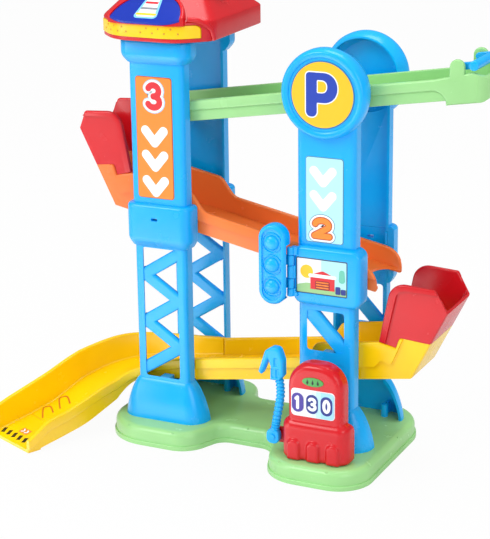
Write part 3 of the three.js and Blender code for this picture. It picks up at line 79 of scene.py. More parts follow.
def add_camera():
    level = math.cos(ELEVATION)
    back = Vector((math.sin(AZIMUTH) * level, -math.cos(AZIMUTH) * level, math.sin(ELEVATION)))
    right = Vector((math.cos(AZIMUTH), math.sin(AZIMUTH), 0))
    up = back.cross(right)
    across = right * math.cos(ROLL) + up * math.sin(ROLL)
    upward = up * math.cos(ROLL) - right * math.sin(ROLL)
    data = bpy.data.cameras.new("camera")
    data.sensor_width = SENSOR
    data.sensor_height = SENSOR
    data.lens = SENSOR * FOCAL_PX / PHOTO_HEIGHT_PX
    data.clip_end = FAR_CLIP
    camera = bpy.data.objects.new("camera", data)
    turn = Matrix((across, upward, back)).transposed().to_4x4()
    camera.matrix_world = Matrix.Translation(CAMERA_AT * MM) @ turn
    scene.collection.objects.link(camera)
    scene.camera = camera


# Materials

def linear(code):
    """A colour written as RRGGBB, in linear light."""
    parts = [int(code[i:i + 2], 16) / 255 for i in (0, 2, 4)]
    return (*[c / 12.92 if c <= 0.04045 else ((c + 0.055) / 1.055) ** 2.4 for c in parts], 1.0)


def tone(colour, share):
    return (*[min(c * share, 1.0) for c in colour[:3]], 1.0)


class Nodes:
    """Short calls to place and wire the shader nodes of one tree."""

    def __init__(self, tree):
        self.tree = tree
        tree.nodes.clear()

    def add(self, kind, *inputs, **values):
        """A node: its first inputs in order, then inputs (_ for a space) and settings by name."""
        node = self.tree.nodes.new(f"ShaderNode{kind}")
        sockets = list(zip(node.inputs, inputs))
        for name, value in values.items():
            socket = name.replace("_", " ")
            if socket in node.inputs:
                sockets.append((node.inputs[socket], value))
            else:
                setattr(node, name, value)
        for socket, value in sockets:
            if isinstance(value, bpy.types.NodeSocket):
                self.tree.links.new(value, socket)
            else:
                socket.default_value = value
        return node

    def out(self, kind, *inputs, **values):
        return self.add(kind, *inputs, **values).outputs[0]

    def noise(self, place, scale, detail):
        return self.out("TexNoise", Vector=place, Scale=scale, Detail=detail)

    def ramp(self, source, stops):
        node = self.add("ValToRGB", source)
        for element, (position, colour) in zip(node.color_ramp.elements, stops):
            element.position = position
            element.color = colour
        return node.outputs[0]


def new_tree(name):
    material = bpy.data.materials.new(name)
    material.use_nodes = True
    return material, Nodes(material.node_tree)


def coated(name, code, flecks, stops, gloss, rough, metal=0.0, peel=None):
    """One colour with flecks in its tone, uneven gloss and, as an option, a fine orange-peel.

    flecks, gloss and peel start with a noise's scale and detail. stops are (noise, share of the
    colour), rough is the roughness at both ends, and peel ends with the bump's strength and reach.
    """
    material, n = new_tree(name)
    colour = linear(code)
    place = n.add("TexCoord").outputs["Object"]
    base = n.ramp(n.noise(place, *flecks), [(at, tone(colour, share)) for at, share in stops])
    roughness = n.out("MapRange", n.noise(place, *gloss), 0.0, 1.0, *rough)
    shader = n.add("BsdfPrincipled", Base_Color=base, Roughness=roughness, Metallic=metal)
    if peel:
        *grain, strength, reach = peel
        bump = n.out("Bump", Strength=strength, Distance=reach, Height=n.noise(place, *grain))
        n.tree.links.new(bump, shader.inputs["Normal"])
    n.add("OutputMaterial", Surface=shader.outputs[0])
    return material


def plastic(name, code, rough=0.24, metal=0.0):
    """Moulded plastic with faint flow marks."""
    return coated(name, code, (22, 2.0), [(0.3, 0.95), (0.7, 1.05)], (60, 4.0),
                  (rough - 0.06, rough + 0.08), metal, (1400, 2.0, 0.04, 0.2 * MM))


def ink(name, code):
    """Printed film with a faint dot screen and slightly uneven varnish."""
    return coated(name, code, (2600, 1.0), [(0.35, 0.96), (0.65, 1.03)], (90, 3.0), (0.3, 0.46))


MATERIALS = {name: plastic(name, code) for name, code in (
    ("blue_plastic", "00AEFF"), ("green_plastic", "9CD68C"), ("orange_plastic", "FF7E38"),
    ("yellow_plastic", "FFCE00"), ("red_plastic", "D0141F"))}
MATERIALS["deep_blue_plastic"] = plastic("deep_blue_plastic", "0A2FA6", rough=0.25)
MATERIALS["steel"] = plastic("steel", "C4C7CC", rough=0.32, metal=1.0)
blue, green, orange, yellow, red, deep_blue = list(MATERIALS.values())[:6]
badge_green = plastic("badge_green", "4FA552")
inks = Named(**{name: ink(f"ink_{name}", code) for name, code in {
    "white": "F6F8FB", "orange": "FF8A2A", "rust": "C2541C", "red": "DA2430", "maroon": "8C1A22",
    "sky": "7CC8F2", "ice": "B4EEF6", "steel": "5B93AC", "slate": "3D5470", "blue": "1C3FB0",
    "navy": "1E2F86", "violet": "4A3C9C", "amber": "FFC21E", "yellow": "FFC928",
    "ochre": "D09A10", "brown": "C9761A", "pale": "DDF3FC", "haze": "BFE6FA",
    "sky_pale": "A5DCF8", "green": "9CCB8C", "mint": "6FC7B0", "rim": "1B78B4",
    "grey": "8C9098", "black": "16241A",
}.items()})


# Finish of the pieces that show as the CAD has them

PLAIN_EDGE = 0.6
SMALL_EDGE = 0.25
BACK_EDGE = 1.0
SHARP = math.radians(35)


def weld_group():
    """Geometry nodes that weld a node's triangles and shade them smooth."""
    group = bpy.data.node_groups.new("welded", "GeometryNodeTree")
    for way in ("INPUT", "OUTPUT"):
        group.interface.new_socket("Geometry", in_out=way, socket_type="NodeSocketGeometry")
    chain = [group.nodes.new(kind) for kind in (
        "NodeGroupInput", "GeometryNodeMergeByDistance", "GeometryNodeSetShadeSmooth",
        "NodeGroupOutput")]
    chain[1].inputs["Distance"].default_value = WELD * MM
    for source, target in zip(chain, chain[1:]):
        group.links.new(source.outputs[0], target.inputs[0])
    return group


def finish_nodes():
    """Give every node its material, welded faces and rounded edges, finer on screws and pins."""
    welded = weld_group()
    slots = {row["node"]: row["material_slot"] for row in frame["record"]["subparts"]}
    for name, piece in nodes.items():
        piece.data.materials.clear()
        piece.data.materials.append(MATERIALS.get(slots[name], blue))
        piece.modifiers.new("welded", "NODES").node_group = welded
        bevel = piece.modifiers.new("rounded_edges", "BEVEL")
        bevel.width = (SMALL_EDGE if "screw" in name or "pin" in name else PLAIN_EDGE) * MM
        bevel.segments = 2
        bevel.limit_method = "ANGLE"
        bevel.angle_limit = SHARP
        bevel.use_clamp_overlap = False
        bevel.miter_outer = "MITER_ARC"
        normals = piece.modifiers.new("even_normals", "WEIGHTED_NORMAL")
        normals.keep_sharp = False
        normals.weight = 50


# Solids: closed meshes drawn in millimetres, joined and cut before they are finished

GAP = 0.3
OVERRUN = 3.0
ARC = 8
ROUNDS = 4
FINE = 96
MELTED = 50
TURNS = {
    "x": Matrix(((0, 0, 1), (1, 0, 0), (0, 1, 0))),
    "y": Matrix(((1, 0, 0), (0, 0, -1), (0, 1, 0))),
    "z": Matrix.Identity(3),
}


def outline(corners, inset=0.0, steps=ARC):
    """A closed outline from anticlockwise corners (x, y, radius), drawn in by an inset."""
    points = []
    for i, corner in enumerate(corners):
        x, y, radius = (*corner, 0)[:3]
        before, after = corners[i - 1], corners[(i + 1) % len(corners)]
        into = Vector((x - before[0], y - before[1])).normalized()
        out = Vector((after[0] - x, after[1] - y)).normalized()
        turn = math.atan2(into.x * out.y - into.y * out.x, into.dot(out))
        shift = inset / (1 + into.dot(out))
        apex = Vector((x - shift * (into.y + out.y), y + shift * (into.x + out.x)))
        if radius == 0:
            points.append(apex)
            continue
        side = math.copysign(1, turn)
        reach = max(radius - side * inset, 0)
        start = apex - into * reach * math.tan(abs(turn) / 2)
        centre = Vector((start.x - side * reach * into.y, start.y + side * reach * into.x))
        for k in range(steps + 1):
            points.append(centre + Matrix.Rotation(turn * k / steps, 2) @ (start - centre))
    return points


def circle(x, y, radius, sides=40):
    angles = [2 * math.pi * i / sides for i in range(sides)]
    return [(x + radius * math.cos(a), y + radius * math.sin(a)) for a in angles]


def rectangle(x0, x1, y0, y1, corner=0.0):
    return [(x0, y0, corner), (x1, y0, corner), (x1, y1, corner), (x0, y1, corner)]


def solid(points, faces):
    """A closed mesh object whose faces point out."""
    mesh = bpy.data.meshes.new("solid")
    mesh.from_pydata([tuple(p) for p in points], [], faces)
    edit = bmesh.new()
    edit.from_mesh(mesh)
    bmesh.ops.remove_doubles(edit, verts=edit.verts, dist=WELD)
    bmesh.ops.recalc_face_normals(edit, faces=edit.faces)
    edit.to_mesh(mesh)
    edit.free()
    piece = bpy.data.objects.new("solid", mesh)
    scene.collection.objects.link(piece)
    return piece


def loft(rings, closed=False):
    """A skin over rings of equal length, its ends capped or joined to each other."""
    count = len(rings[0])
    points = [p for ring in rings for p in ring]
    faces = []
    for i in range(len(rings) - (0 if closed else 1)):
        a0, b0 = i * count, (i + 1) % len(rings) * count
        for j in range(count):
            k = (j + 1) % count
            faces.append((a0 + j, a0 + k, b0 + k, b0 + j))
    if not closed:
        last = (len(rings) - 1) * count
        faces.append(tuple(reversed(range(count))))
        faces.append(tuple(range(last, last + count)))
    return solid(points, faces)


def placed(points, height, axis):
    return [TURNS[axis] @ Vector((p[0], p[1], height)) for p in points]


def rounding(edge, rounds=ROUNDS):
    """(rise, inset) along a quarter round, from the flat face to the side wall."""
    angles = [math.pi / 2 * k / rounds for k in range(rounds + 1)]
    return [(edge * (1 - math.cos(a)), edge * (1 - math.sin(a))) for a in angles]


def prism(axis, corners, low, high, edge=0.0, far_edge=None, steps=ARC):
    """An outline pushed along an axis, its near and far edges rounded."""
    far_edge = edge if far_edge is None else far_edge
    if axis == "y":
        low, high, edge, far_edge = -high, -low, far_edge, edge
    levels = [(low + rise, inset) for rise, inset in (rounding(edge) if edge else [(0, 0)])]
    levels += [(high - rise, inset)
               for rise, inset in reversed(rounding(far_edge) if far_edge else [(0, 0)])]
    return loft([placed(outline(corners, inset, steps), z, axis) for z, inset in levels])


def arched(x0, x1, low, high, radius):
    """A rectangle whose two upper corners are rounded."""
    return [(x0, low), (x1, low), (x1, high, radius), (x0, high, radius)]


def box(x0, x1, y0, y1, z0, z1, edge=0.0):
    return prism("z", rectangle(x0, x1, y0, y1, edge), z0, z1, edge)


def rod(axis, a, b, radius, low, high, edge=0.0, sides=40):
    return prism(axis, circle(a, b, radius, sides), low, high, edge)


def lathe(profile, axis, place=(0, 0, 0), segments=72, closed=False):
    """A profile of (radius, height) points turned about an axis."""
    rings = []
    for radius, height in profile:
        ring = placed(circle(0, 0, radius, segments), height, axis)
        rings.append([p + Vector(place) for p in ring])
    return loft(rings, closed)


def arc(x, y, across, up, start, end, steps=ARC):
    angles = [math.radians(start + (end - start) * k / steps) for k in range(steps + 1)]
    return [(x + across * math.cos(a), y + up * math.sin(a)) for a in angles]


def carve(kind, whole, pieces):
    for piece in pieces:
        step = whole.modifiers.new(kind, "BOOLEAN")
        step.operation = kind
        step.solver = "MANIFOLD"
        step.object = piece
    bpy.context.view_layer.update()
    graph = bpy.context.evaluated_depsgraph_get()
    mesh = bpy.data.meshes.new_from_object(whole.evaluated_get(graph))
    whole.modifiers.clear()
    whole.data = mesh
    for piece in pieces:
        bpy.data.objects.remove(piece)
    return whole


def join(whole, *pieces):
    return carve("UNION", whole, pieces)


def cut(whole, *pieces):
    return carve("DIFFERENCE", whole, pieces)


def meet(whole, *pieces):
    return carve("INTERSECT", whole, pieces)


def side_slab(corners, way, near, far, edge=0.0):
    low, high = sorted((way * near, way * far))
    return prism("y", corners, low, high, edge)


def slabs(corners, near, far, edge=0.0):
    """The same slab on both sides of the middle plane."""
    return [side_slab(corners, way, near, far, edge) for way in (-1, 1)]


def moved(piece, x=0.0, y=0.0, z=0.0):
    piece.data.transform(Matrix.Translation((x, y, z)))
    return piece


def soften(piece, voxel, passes):
    """Melt a solid's edges like a thick moulding: remeshed and smoothed."""
    remesh = piece.modifiers.new("skin", "REMESH")
    remesh.mode = "VOXEL"
    remesh.voxel_size = voxel
    smooth = piece.modifiers.new("melt", "SMOOTH")
    smooth.factor = 0.5
    smooth.iterations = passes
    return carve("soften", piece, [])


def finish(name, piece, material, replaced=(), body="root", crease=32):
    """Turn a solid into a finished piece: metres, material, shading and the body it rides on."""
    mesh = piece.data
    mesh.transform(Matrix.Scale(MM, 4))
    edit = bmesh.new()
    edit.from_mesh(mesh)
    bmesh.ops.remove_doubles(edit, verts=edit.verts, dist=MERGE * MM)
    bmesh.ops.dissolve_degenerate(edit, edges=edit.edges, dist=SLIVER * MM)
    edit.to_mesh(mesh)
    edit.free()
    mesh.materials.clear()
    mesh.materials.append(material)
    mesh.shade_smooth()
    mesh.set_sharp_from_angle(angle=math.radians(crease))
    piece.name = mesh.name = name
    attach(piece, body)
    if replaced:
        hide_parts(*replaced)


# Sizes of the mouldings, nearly all of them as the solids have them

base = Named(
    height=19, wall=2.6, flange_height=4.5, flange_edge=0.9, flange_reach=1.6, edge=6.4,
    pad_half_length=60, pad_depth=86, shelf_depth=112, pad_corner=50, inner_corner=30,
    pad_inner=45, shelf_corner=35, shelf_inner=52, shelf_inner_corner=42, waist_half_length=28,
    waist_half_depth=44, waist_corner=16, rib=2.4, rib_distance=52, level_pad=9,
)
tower = Named(
    half_width=29, panel_half_width=30, face=51, rim=37, wall=2.6, corner=5, foot_half_width=46.5,
    foot_face=61, foot_top=60, foot_corner=20, foot_power=1.4, foot_steps=14, left_joint=240,
    right_joint=218, roof_seat=411.2,
)
lattice = Named(
    leg=9.5, depth=6.4, edge=2.6, sink=0.9, corner=3, window_low=63, left_top=200, left_strut=12.5,
    strut_distance=24.8, left_lowest=71.6, left_struts=5, right_top=158, right_strut=15.5,
    right_bar_top=117, right_bar=12, lip=1.8,
)
collar = Named(
    bulge=6, shoulder=10, top_drop=4, left_low=202, left_high=246, right_low=165, right_high=223,
    slot_width=7, slot_height=2.8, slot_corner=0.6, slot_below=13.5, left_slot=-2.4,
    right_slot=-6.3, top_height=24, top_bulge=8, low_share=0.25, top_share=0.35, steps=8,
)
billboard = Named(
    left_half=31.6, right_half=38, face=58, corner=9, edge=4, print_width=53, print_height=35.5,
    print_rise=194.4, print_shift=-1.2, print_corner=1.5, recess=1,
)
disc = Named(
    rise=371.5, radius=43.2, back_radius=40, crest=39, rim_inner=34.5, face=61, dish=2.4,
    widest=48, roll_start=52.5,
)
tab = Named(width=6, height=2, half_width=36.3, reach=8, wall=2)
tab_rises = Named(exit=58.72, middle_left=228.6, top_left=332.83, lower=111.01, middle_right=195.4,
                  top_right=360.73, middle_shift=14)
screws = Named(head=3.2, shaft=1.5, length=13, boss=3.6, head_height=2)
light = Named(
    x=42, rise=204.5, height=79.5, width=28.4, front=71, back=56, rim=2.6, recess=1.8,
    dome_radius=7.4, dome_rise=4, ring_radius=10.3, ring_width=1.2, dome_distance=22, edge=3,
    split=62, hinge_x=57.5, hinge_y=60.5, knuckle=3.4, knuckle_length=10, knuckle_spread=11.6,
    knuckle_edge=0.8, lug_length=7.6, lug_reach=6.5, pin_radius=1.4, shell=2.2, notch=6.8,
    dish_edge=0.8, ring_lift=0.5, ring_rise=0.7,
)
pump = Named(
    x=96.5, front=93.6, back=76, half_width=28.6, skirt_half_width=35, skirt_top=56, top=118,
    arch_corner=24, edge=6.4, skirt_edge=9, skirt_corner=11, skirt_proud=3, skirt_low=7,
    lobe_radius=6.8, lobe_distance=20.5, lobe_top=41, lobe_proud=3, lug_height=16,
    lug_thickness=3.4, screw_reach=20, voxel=0.8, passes=9,
)
hose = Named(
    pivot_x=51.3, pivot_rise=37, y=-88, eye_half=6.6, eye_height=7.4, eye_corner=5.5,
    eye_thickness=8, eye_edge=1.4, radius=3.6, rib=0.8, rib_sink=0.35, rib_power=0.6, ribs=16,
    pin_radius=2, grip_thickness=11, grip_edge=2.4, grip_half_width=9, grip_low=96,
    grip_top=129.5, grip_x=54.5, sides=20, voxel=0.45, passes=3, sunk=1.3, sunk_half=1.7,
    sunk_corner=1,
)
gate = Named(post_x=212, pin_rise=401.5, bar=4.6, bar_edge=1.6, bar_lift=2.5, arm_half=3.4,
             pin_radius=2.4, inner=26.4, outer=29.6, pin_end=34, edge=0.6)
roof = Named(
    x=-90, low=411.5, half_width=61, side_length=44, half_length=71, bow_width=34, side_corner=22,
    bow_corner=40, rear_half_width=57.5, rear_length=76, rear_corner=10, wall=2.6, lip=1.2,
    band_low=415.5, band_high=428, band_proud=0.8, band_right=52, band_left=-59, band_reach=30,
    band_corner=5, dot=1.1, dot_sink=0.6, dot_proud=0.3, dot_rise=422.6, dot_shift=2.2,
    dots=7, dots_half=56, eaves=430, top=461, crown_half_width=32, crown_half_length=25,
    badge_radius=37.6, badge_ridge=3.5, badge_lean=34, badge_deep=12, badge_sink=2.4,
    badge_drop=12, ridge_edge=1.6, ridge_radius=2.5, ridge_sink=0.985, boss_x=40, boss_y=22,
    boss_low=414.5, bore=16, sign_rim=2.6, sign_edge=1.2, sign_floor=1.4,
)
OPEN_HALF = tower.half_width - lattice.leg


# Base

def base_corners():
    b = base
    outer = TOWER_X + b.pad_half_length
    return [
        (-outer, -b.pad_depth, b.pad_corner), (-b.pad_inner, -b.pad_depth, b.inner_corner),
        (-b.waist_half_length, -b.waist_half_depth, b.waist_corner),
        (b.waist_half_length, -b.waist_half_depth, b.waist_corner),
        (b.shelf_inner, -b.shelf_depth, b.shelf_inner_corner),
        (outer, -b.shelf_depth, b.shelf_corner),
        (outer, b.pad_depth, b.pad_corner), (b.pad_inner, b.pad_depth, b.inner_corner),
        (b.waist_half_length, b.waist_half_depth, b.waist_corner),
        (-b.waist_half_length, b.waist_half_depth, b.waist_corner),
        (-b.pad_inner, b.pad_depth, b.inner_corner), (-outer, b.pad_depth, b.pad_corner),
    ]


def screw_places():
    x = tower.half_width - screws.boss
    y = (tower.face + tower.rim) / 2 + GAP
    places = [(side * TOWER_X + way * x, end * y)
              for side in (-1, 1) for end in (-1, 1) for way in (-1, 1)]
    pump_y = -(pump.front + pump.back) / 2
    return places + [(pump.x + way * pump.screw_reach, pump_y) for way in (-1, 1)]


def base_moulding():
    b = base
    inner = b.flange_reach + b.wall
    slant = b.edge / 2
    levels = [(b.height - b.wall, inner + slant), (b.height - b.wall - slant, inner), (0, inner),
              (0, 0)]
    levels += [(b.flange_height - rise, inset) for rise, inset in reversed(rounding(b.flange_edge))]
    levels += [(b.flange_height, b.flange_reach)]
    levels += [(b.height - rise, b.flange_reach + inset)
               for rise, inset in reversed(rounding(b.edge, 6))]
    steps = 2 * ARC
    shell = loft([placed(outline(base_corners(), inset, steps), z, "z") for z, inset in levels])
    rib_top = b.height - b.wall / 2
    outer = TOWER_X + b.pad_half_length
    inside = prism("z", outline(base_corners(), b.flange_reach + b.wall / 2, steps), 0, rib_top)
    half = b.rib_distance / 2
    xs = [-TOWER_X - half, -TOWER_X + half, 0, TOWER_X - half, TOWER_X + half]
    ribs = [box(x - b.rib / 2, x + b.rib / 2, -b.shelf_depth, b.shelf_depth, GAP, rib_top)
            for x in xs]
    spine = box(-outer, outer, -b.rib / 2, b.rib / 2, GAP, rib_top)
    bosses = [rod("z", x, y, screws.head + b.wall, b.height / 2, rib_top)
              for x, y in screw_places()]
    inner_work = meet(join(spine, *ribs, *bosses), inside)
    seat = rod("z", 0, 0, b.level_pad, 0, rib_top)
    seat_z = b.height - b.wall - screws.head_height / 2
    bores = [rod("z", x, y, screws.shaft + GAP, -OVERRUN, b.height + OVERRUN)
             for x, y in screw_places()]
    wells = [rod("z", x, y, screws.head + GAP, -OVERRUN, seat_z + GAP) for x, y in screw_places()]
    return cut(join(shell, inner_work, seat), *bores, *wells)


# Towers: each column is drawn as a front one about its own tower's axis

def section(half_width, face, rim, corner=0.0):
    return [(-half_width, -rim), (-half_width, -face, corner), (half_width, -face, corner),
            (half_width, -rim)]


def stack(levels, steps=ARC):
    return loft([placed(outline(corners, 0, steps), z, "z") for z, corners in levels])


def channel(half_width, low, high):
    outer = prism("z", section(half_width, tower.face, tower.rim, tower.corner), low, high)
    inner = prism("z", section(half_width - tower.wall, tower.face - tower.wall,
                               tower.rim - OVERRUN, tower.corner - tower.wall),
                  low - OVERRUN, high + OVERRUN)
    return outer, inner


def foot(inset, sunk):
    """The bell foot swells from the column down to the base, flatter than an ellipse."""
    levels = []
    top = tower.foot_top - inset
    for i in range(tower.foot_steps + 1):
        share = math.sin(math.pi / 2 * i / tower.foot_steps)
        swell = max(1 - share ** tower.foot_power, 0) ** (1 / tower.foot_power)
        half_width = tower.half_width + (tower.foot_half_width - tower.half_width) * swell - inset
        face = tower.face + (tower.foot_face - tower.face) * swell - inset
        corner = tower.corner + (tower.foot_corner - tower.corner) * swell - inset
        z = base.height + (top - base.height) * share - (sunk if i == 0 else 0)
        levels.append((z, section(half_width, face, tower.rim - sunk, corner)))
    return stack(levels)


def strut(start, end, width):
    """A half-round strut between two places (x, z) of the front wall."""
    run = (Vector(end) - Vector(start)).normalized()
    over = Vector((-run.y, run.x)) * width / 2
    reach = run * lattice.leg / 2
    corners = [Vector(start) - reach - over, Vector(end) + reach - over,
               Vector(end) + reach + over, Vector(start) - reach + over]
    face = lattice.sink - tower.face
    return prism("y", [tuple(c) for c in corners], face, face + lattice.depth, lattice.edge)


def left_struts():
    sides = (-OPEN_HALF, OPEN_HALF)
    places = [(sides[i % 2], lattice.left_lowest + i * lattice.strut_distance)
              for i in range(lattice.left_struts + 1)]
    return [strut(a, b, lattice.left_strut) for a, b in zip(places, places[1:])]


def right_struts(way):
    lower = lattice.right_bar_top - lattice.right_bar
    width = lattice.right_strut
    return [
        strut((-way * OPEN_HALF, lattice.right_top), (way * OPEN_HALF, lattice.right_bar_top),
              width),
        strut((way * OPEN_HALF, lower), (-way * OPEN_HALF, lattice.window_low), width),
    ]


def window_cut(low, high):
    """A window through the front wall whose outer rim is rounded over."""
    corners = rectangle(-OPEN_HALF, OPEN_HALF, low, high, lattice.corner)
    wall = tower.face - lattice.lip
    levels = [(tower.rim - OVERRUN, 0)]
    levels += [(wall + rise, -inset) for rise, inset in rounding(lattice.lip)]
    levels += [(tower.foot_face + OVERRUN, -lattice.lip)]
    return loft([placed(outline(corners, inset), z, "y") for z, inset in levels])


def socket(x, z, face):
    half_width = tab.width / 2 + GAP + tab.wall
    half_height = tab.height / 2 + GAP + tab.wall
    return box(x - half_width, x + half_width, -face, -tower.rim, z - half_height, z + half_height)


def socket_bore(x, z):
    half_width = tab.width / 2 + GAP
    half_height = tab.height / 2 + GAP
    return box(x - half_width, x + half_width, -tab.half_width - tab.reach - GAP,
               OVERRUN - tower.rim, z - half_height, z + half_height)


def slot_cut(x, top):
    high = top - collar.slot_below
    corners = rectangle(x - collar.slot_width / 2, x + collar.slot_width / 2,
                        high - collar.slot_height, high, collar.slot_corner)
    return prism("y", corners, -billboard.face - OVERRUN, OVERRUN - tower.rim)


SOCKET_FACE = tower.face - tower.wall / 2


def column(joint, windows, struts, sockets, slot, collar_high):
    outer, inner = channel(tower.half_width, base.height, joint)
    boss_top = base.height + screws.length + GAP
    x, y = tower.half_width - screws.boss, (tower.face + tower.rim) / 2 + GAP
    bosses = [rod("z", way * x, -y, screws.boss, base.height, boss_top) for way in (-1, 1)]
    webs = [box(way * x - tower.wall / 2, way * x + tower.wall / 2, -tower.foot_face, -y,
                base.height, boss_top) for way in (-1, 1)]
    stems = meet(join(bosses[0], bosses[1], *webs), foot(0, 0))
    bores = [rod("z", way * x, -y, screws.shaft + GAP, 0, boss_top + OVERRUN) for way in (-1, 1)]
    hollow = cut(join(foot(0, 0), outer), foot(tower.wall, OVERRUN), inner,
                 *[window_cut(*window) for window in windows])
    whole = join(hollow, *struts, stems, *[socket(sx, sz, SOCKET_FACE) for sx, sz in sockets])
    return cut(whole, *bores, slot_cut(slot, collar_high),
               *[socket_bore(sx, sz) for sx, sz in sockets])


def collar_body(half_width, face, low, high, bulge):
    """A collar whose wall swells from its lower edge and rounds over at its top."""
    def ring(share):
        back = bulge * (1 - share)
        return section(half_width - back, face - back, tower.rim, tower.corner + bulge * share)
    c = collar
    shares = [i / c.steps for i in range(c.steps + 1)]
    levels = [(low + c.shoulder * up,
               ring(c.low_share + (1 - c.low_share) * math.sin(math.pi / 2 * up)))
              for up in shares]
    levels += [(high - c.top_drop * (1 - math.sin(math.pi / 2 * up)),
                ring(c.top_share + (1 - c.top_share) * math.cos(math.pi / 2 * up)))
               for up in shares]
    return stack(levels)


def hinge_rods(x, spans, near, far, back):
    """Rounded knuckles about the light's pin and the arms that carry them to their shell."""
    rods = [rod("z", x, -light.hinge_y, light.knuckle, low, high, light.knuckle_edge)
            for low, high in spans]
    return rods + [box(near, far, *back, low, high) for low, high in spans]


def lug_spans():
    """The frame's lugs stand above, between and below the light's two knuckles."""
    (low0, high0), (low1, high1) = knuckle_spans()
    return [(low0 - GAP - light.lug_length, low0 - GAP), (high0 + GAP, low1 - GAP),
            (high1 + GAP, high1 + GAP + light.lug_length)]


def knuckle_spans():
    spans = []
    for way in (-1, 1):
        middle = light.rise - light.dome_distance / 3 + way * light.knuckle_spread
        spans.append((middle - light.knuckle_length / 2, middle + light.knuckle_length / 2))
    return spans


def print_corners(grow=0.0):
    b = billboard
    half_width, half_height = b.print_width / 2 + grow, b.print_height / 2 + grow
    return rectangle(b.print_shift - half_width, b.print_shift + half_width,
                     b.print_rise - half_height, b.print_rise + half_height, b.print_corner)


def billboard_collar():
    b = billboard
    corners = rectangle(-b.left_half, b.right_half, collar.right_low, collar.right_high, b.corner)
    frame_block = prism("y", corners, -b.face, -tower.rim, b.edge, BACK_EDGE)
    hinge_x = light.hinge_x - TOWER_X
    lugs = hinge_rods(hinge_x, lug_spans(), hinge_x, hinge_x + light.lug_reach,
                      (-light.hinge_y, light.lug_reach - light.hinge_y))
    bore = rod("z", hinge_x, -light.hinge_y, light.pin_radius + GAP, collar.right_low,
               collar.right_high)
    recess = prism("y", print_corners(GAP), -b.face - OVERRUN, b.recess - b.face)
    return cut(join(frame_block, *lugs), bore, recess)


def disc_body():
    """The round head of the right tower: a dished plate in a thick rolled rim."""
    d = disc
    floor = d.face - d.dish
    profile = [(0, tower.rim), (d.back_radius - 1, tower.rim), (d.back_radius, tower.rim + 1),
               (d.radius, d.widest),
               *arc(d.crest, d.roll_start, d.radius - d.crest, d.face - d.roll_start, 0, 90, ARC),
               *arc(d.crest, floor, d.crest - d.rim_inner, d.dish, 90, 180, ARC)[1:], (0, floor)]
    return lathe(profile, "y", (0, 0, d.rise), FINE)


def disc_hollow():
    inner = disc.back_radius - tower.wall
    floor = disc.face - disc.dish - tower.wall
    slant = 2 * tower.wall
    profile = [(0, tower.rim - OVERRUN), (inner, tower.rim - OVERRUN), (inner, floor - slant),
               (inner - slant, floor), (0, floor)]
    return lathe(profile, "y", (0, 0, disc.rise), FINE)


def panel(joint, top, collar_low, collar_high, slot, socket_at, has_billboard=False,
          has_disc=False):
    outer, inner = channel(tower.panel_half_width, joint + GAP, top)
    sleeve = prism("z", section(tower.half_width + GAP, tower.face + GAP, tower.rim - OVERRUN,
                                tower.corner), collar_low - OVERRUN, joint + GAP)
    wide, face = tower.panel_half_width + collar.bulge, tower.face + collar.bulge
    lower = billboard_collar() if has_billboard else collar_body(
        wide, face, collar_low, collar_high, collar.bulge)
    if has_disc:
        upper, hollows = disc_body(), [disc_hollow()]
        socket_face = disc.face - disc.dish - tower.wall / 2
    else:
        upper = collar_body(tower.panel_half_width + collar.top_bulge,
                            tower.face + collar.top_bulge, top - collar.top_height, top,
                            collar.top_bulge)
        hollows, socket_face = [], SOCKET_FACE
    hollow = cut(join(outer, lower, upper), inner, sleeve, *hollows)
    return cut(join(hollow, socket(*socket_at, socket_face)), slot_cut(slot, collar_high),
               socket_bore(*socket_at))


def add_towers():
    bar_low = lattice.right_bar_top - lattice.right_bar
    for end, way in (("front", 1), ("rear", -1)):
        turned = way < 0
        left = column(tower.left_joint, [(lattice.window_low, lattice.left_top)], left_struts(),
                      [(0, tab_rises.exit), (way * tab_rises.middle_shift, tab_rises.middle_left)],
                      collar.left_slot, collar.left_high)
        place_tower(f"{end}_left_column", left, -TOWER_X, turned)
        right = column(tower.right_joint,
                       [(lattice.window_low, bar_low), (lattice.right_bar_top, lattice.right_top)],
                       right_struts(way), [(0, tab_rises.lower), (0, tab_rises.middle_right)],
                       collar.right_slot, collar.right_high)
        place_tower(f"{end}_right_column", right, TOWER_X, turned)
        left_top = panel(tower.left_joint, tower.roof_seat, collar.left_low, collar.left_high,
                         collar.left_slot, (0, tab_rises.top_left))
        place_tower(f"{end}_left_panel", left_top, -TOWER_X, turned)
        right_top = panel(tower.right_joint, disc.rise, collar.right_low, collar.right_high,
                          collar.right_slot, (0, tab_rises.top_right), way > 0, True)
        place_tower(f"{end}_right_panel", right_top, TOWER_X, turned)


def place_tower(node, piece, x, turned):
    """Turn a rear piece about its tower's axis and set the tower at its place along X."""
    if turned:
        piece.data.transform(Matrix.Rotation(math.pi, 4, "Z"))
    moved(piece, x)
    finish(f"{node}_moulding", piece, blue, [node])


# Traffic light: two shells around three domes, on a pin at the billboard's edge

def light_corners(inset=0.0):
    half_width, half_height = light.width / 2, light.height / 2
    corners = rectangle(light.x - half_width, light.x + half_width, light.rise - half_height,
                        light.rise + half_height, half_width - GAP)
    return outline(corners, inset, 2 * ARC)


def light_notch():
    spans = lug_spans()
    return box(light.hinge_x - light.notch, light.hinge_x + light.width,
               -light.hinge_y - light.notch, light.width - light.hinge_y,
               spans[0][0] - light.rim, spans[2][1] + light.rim)


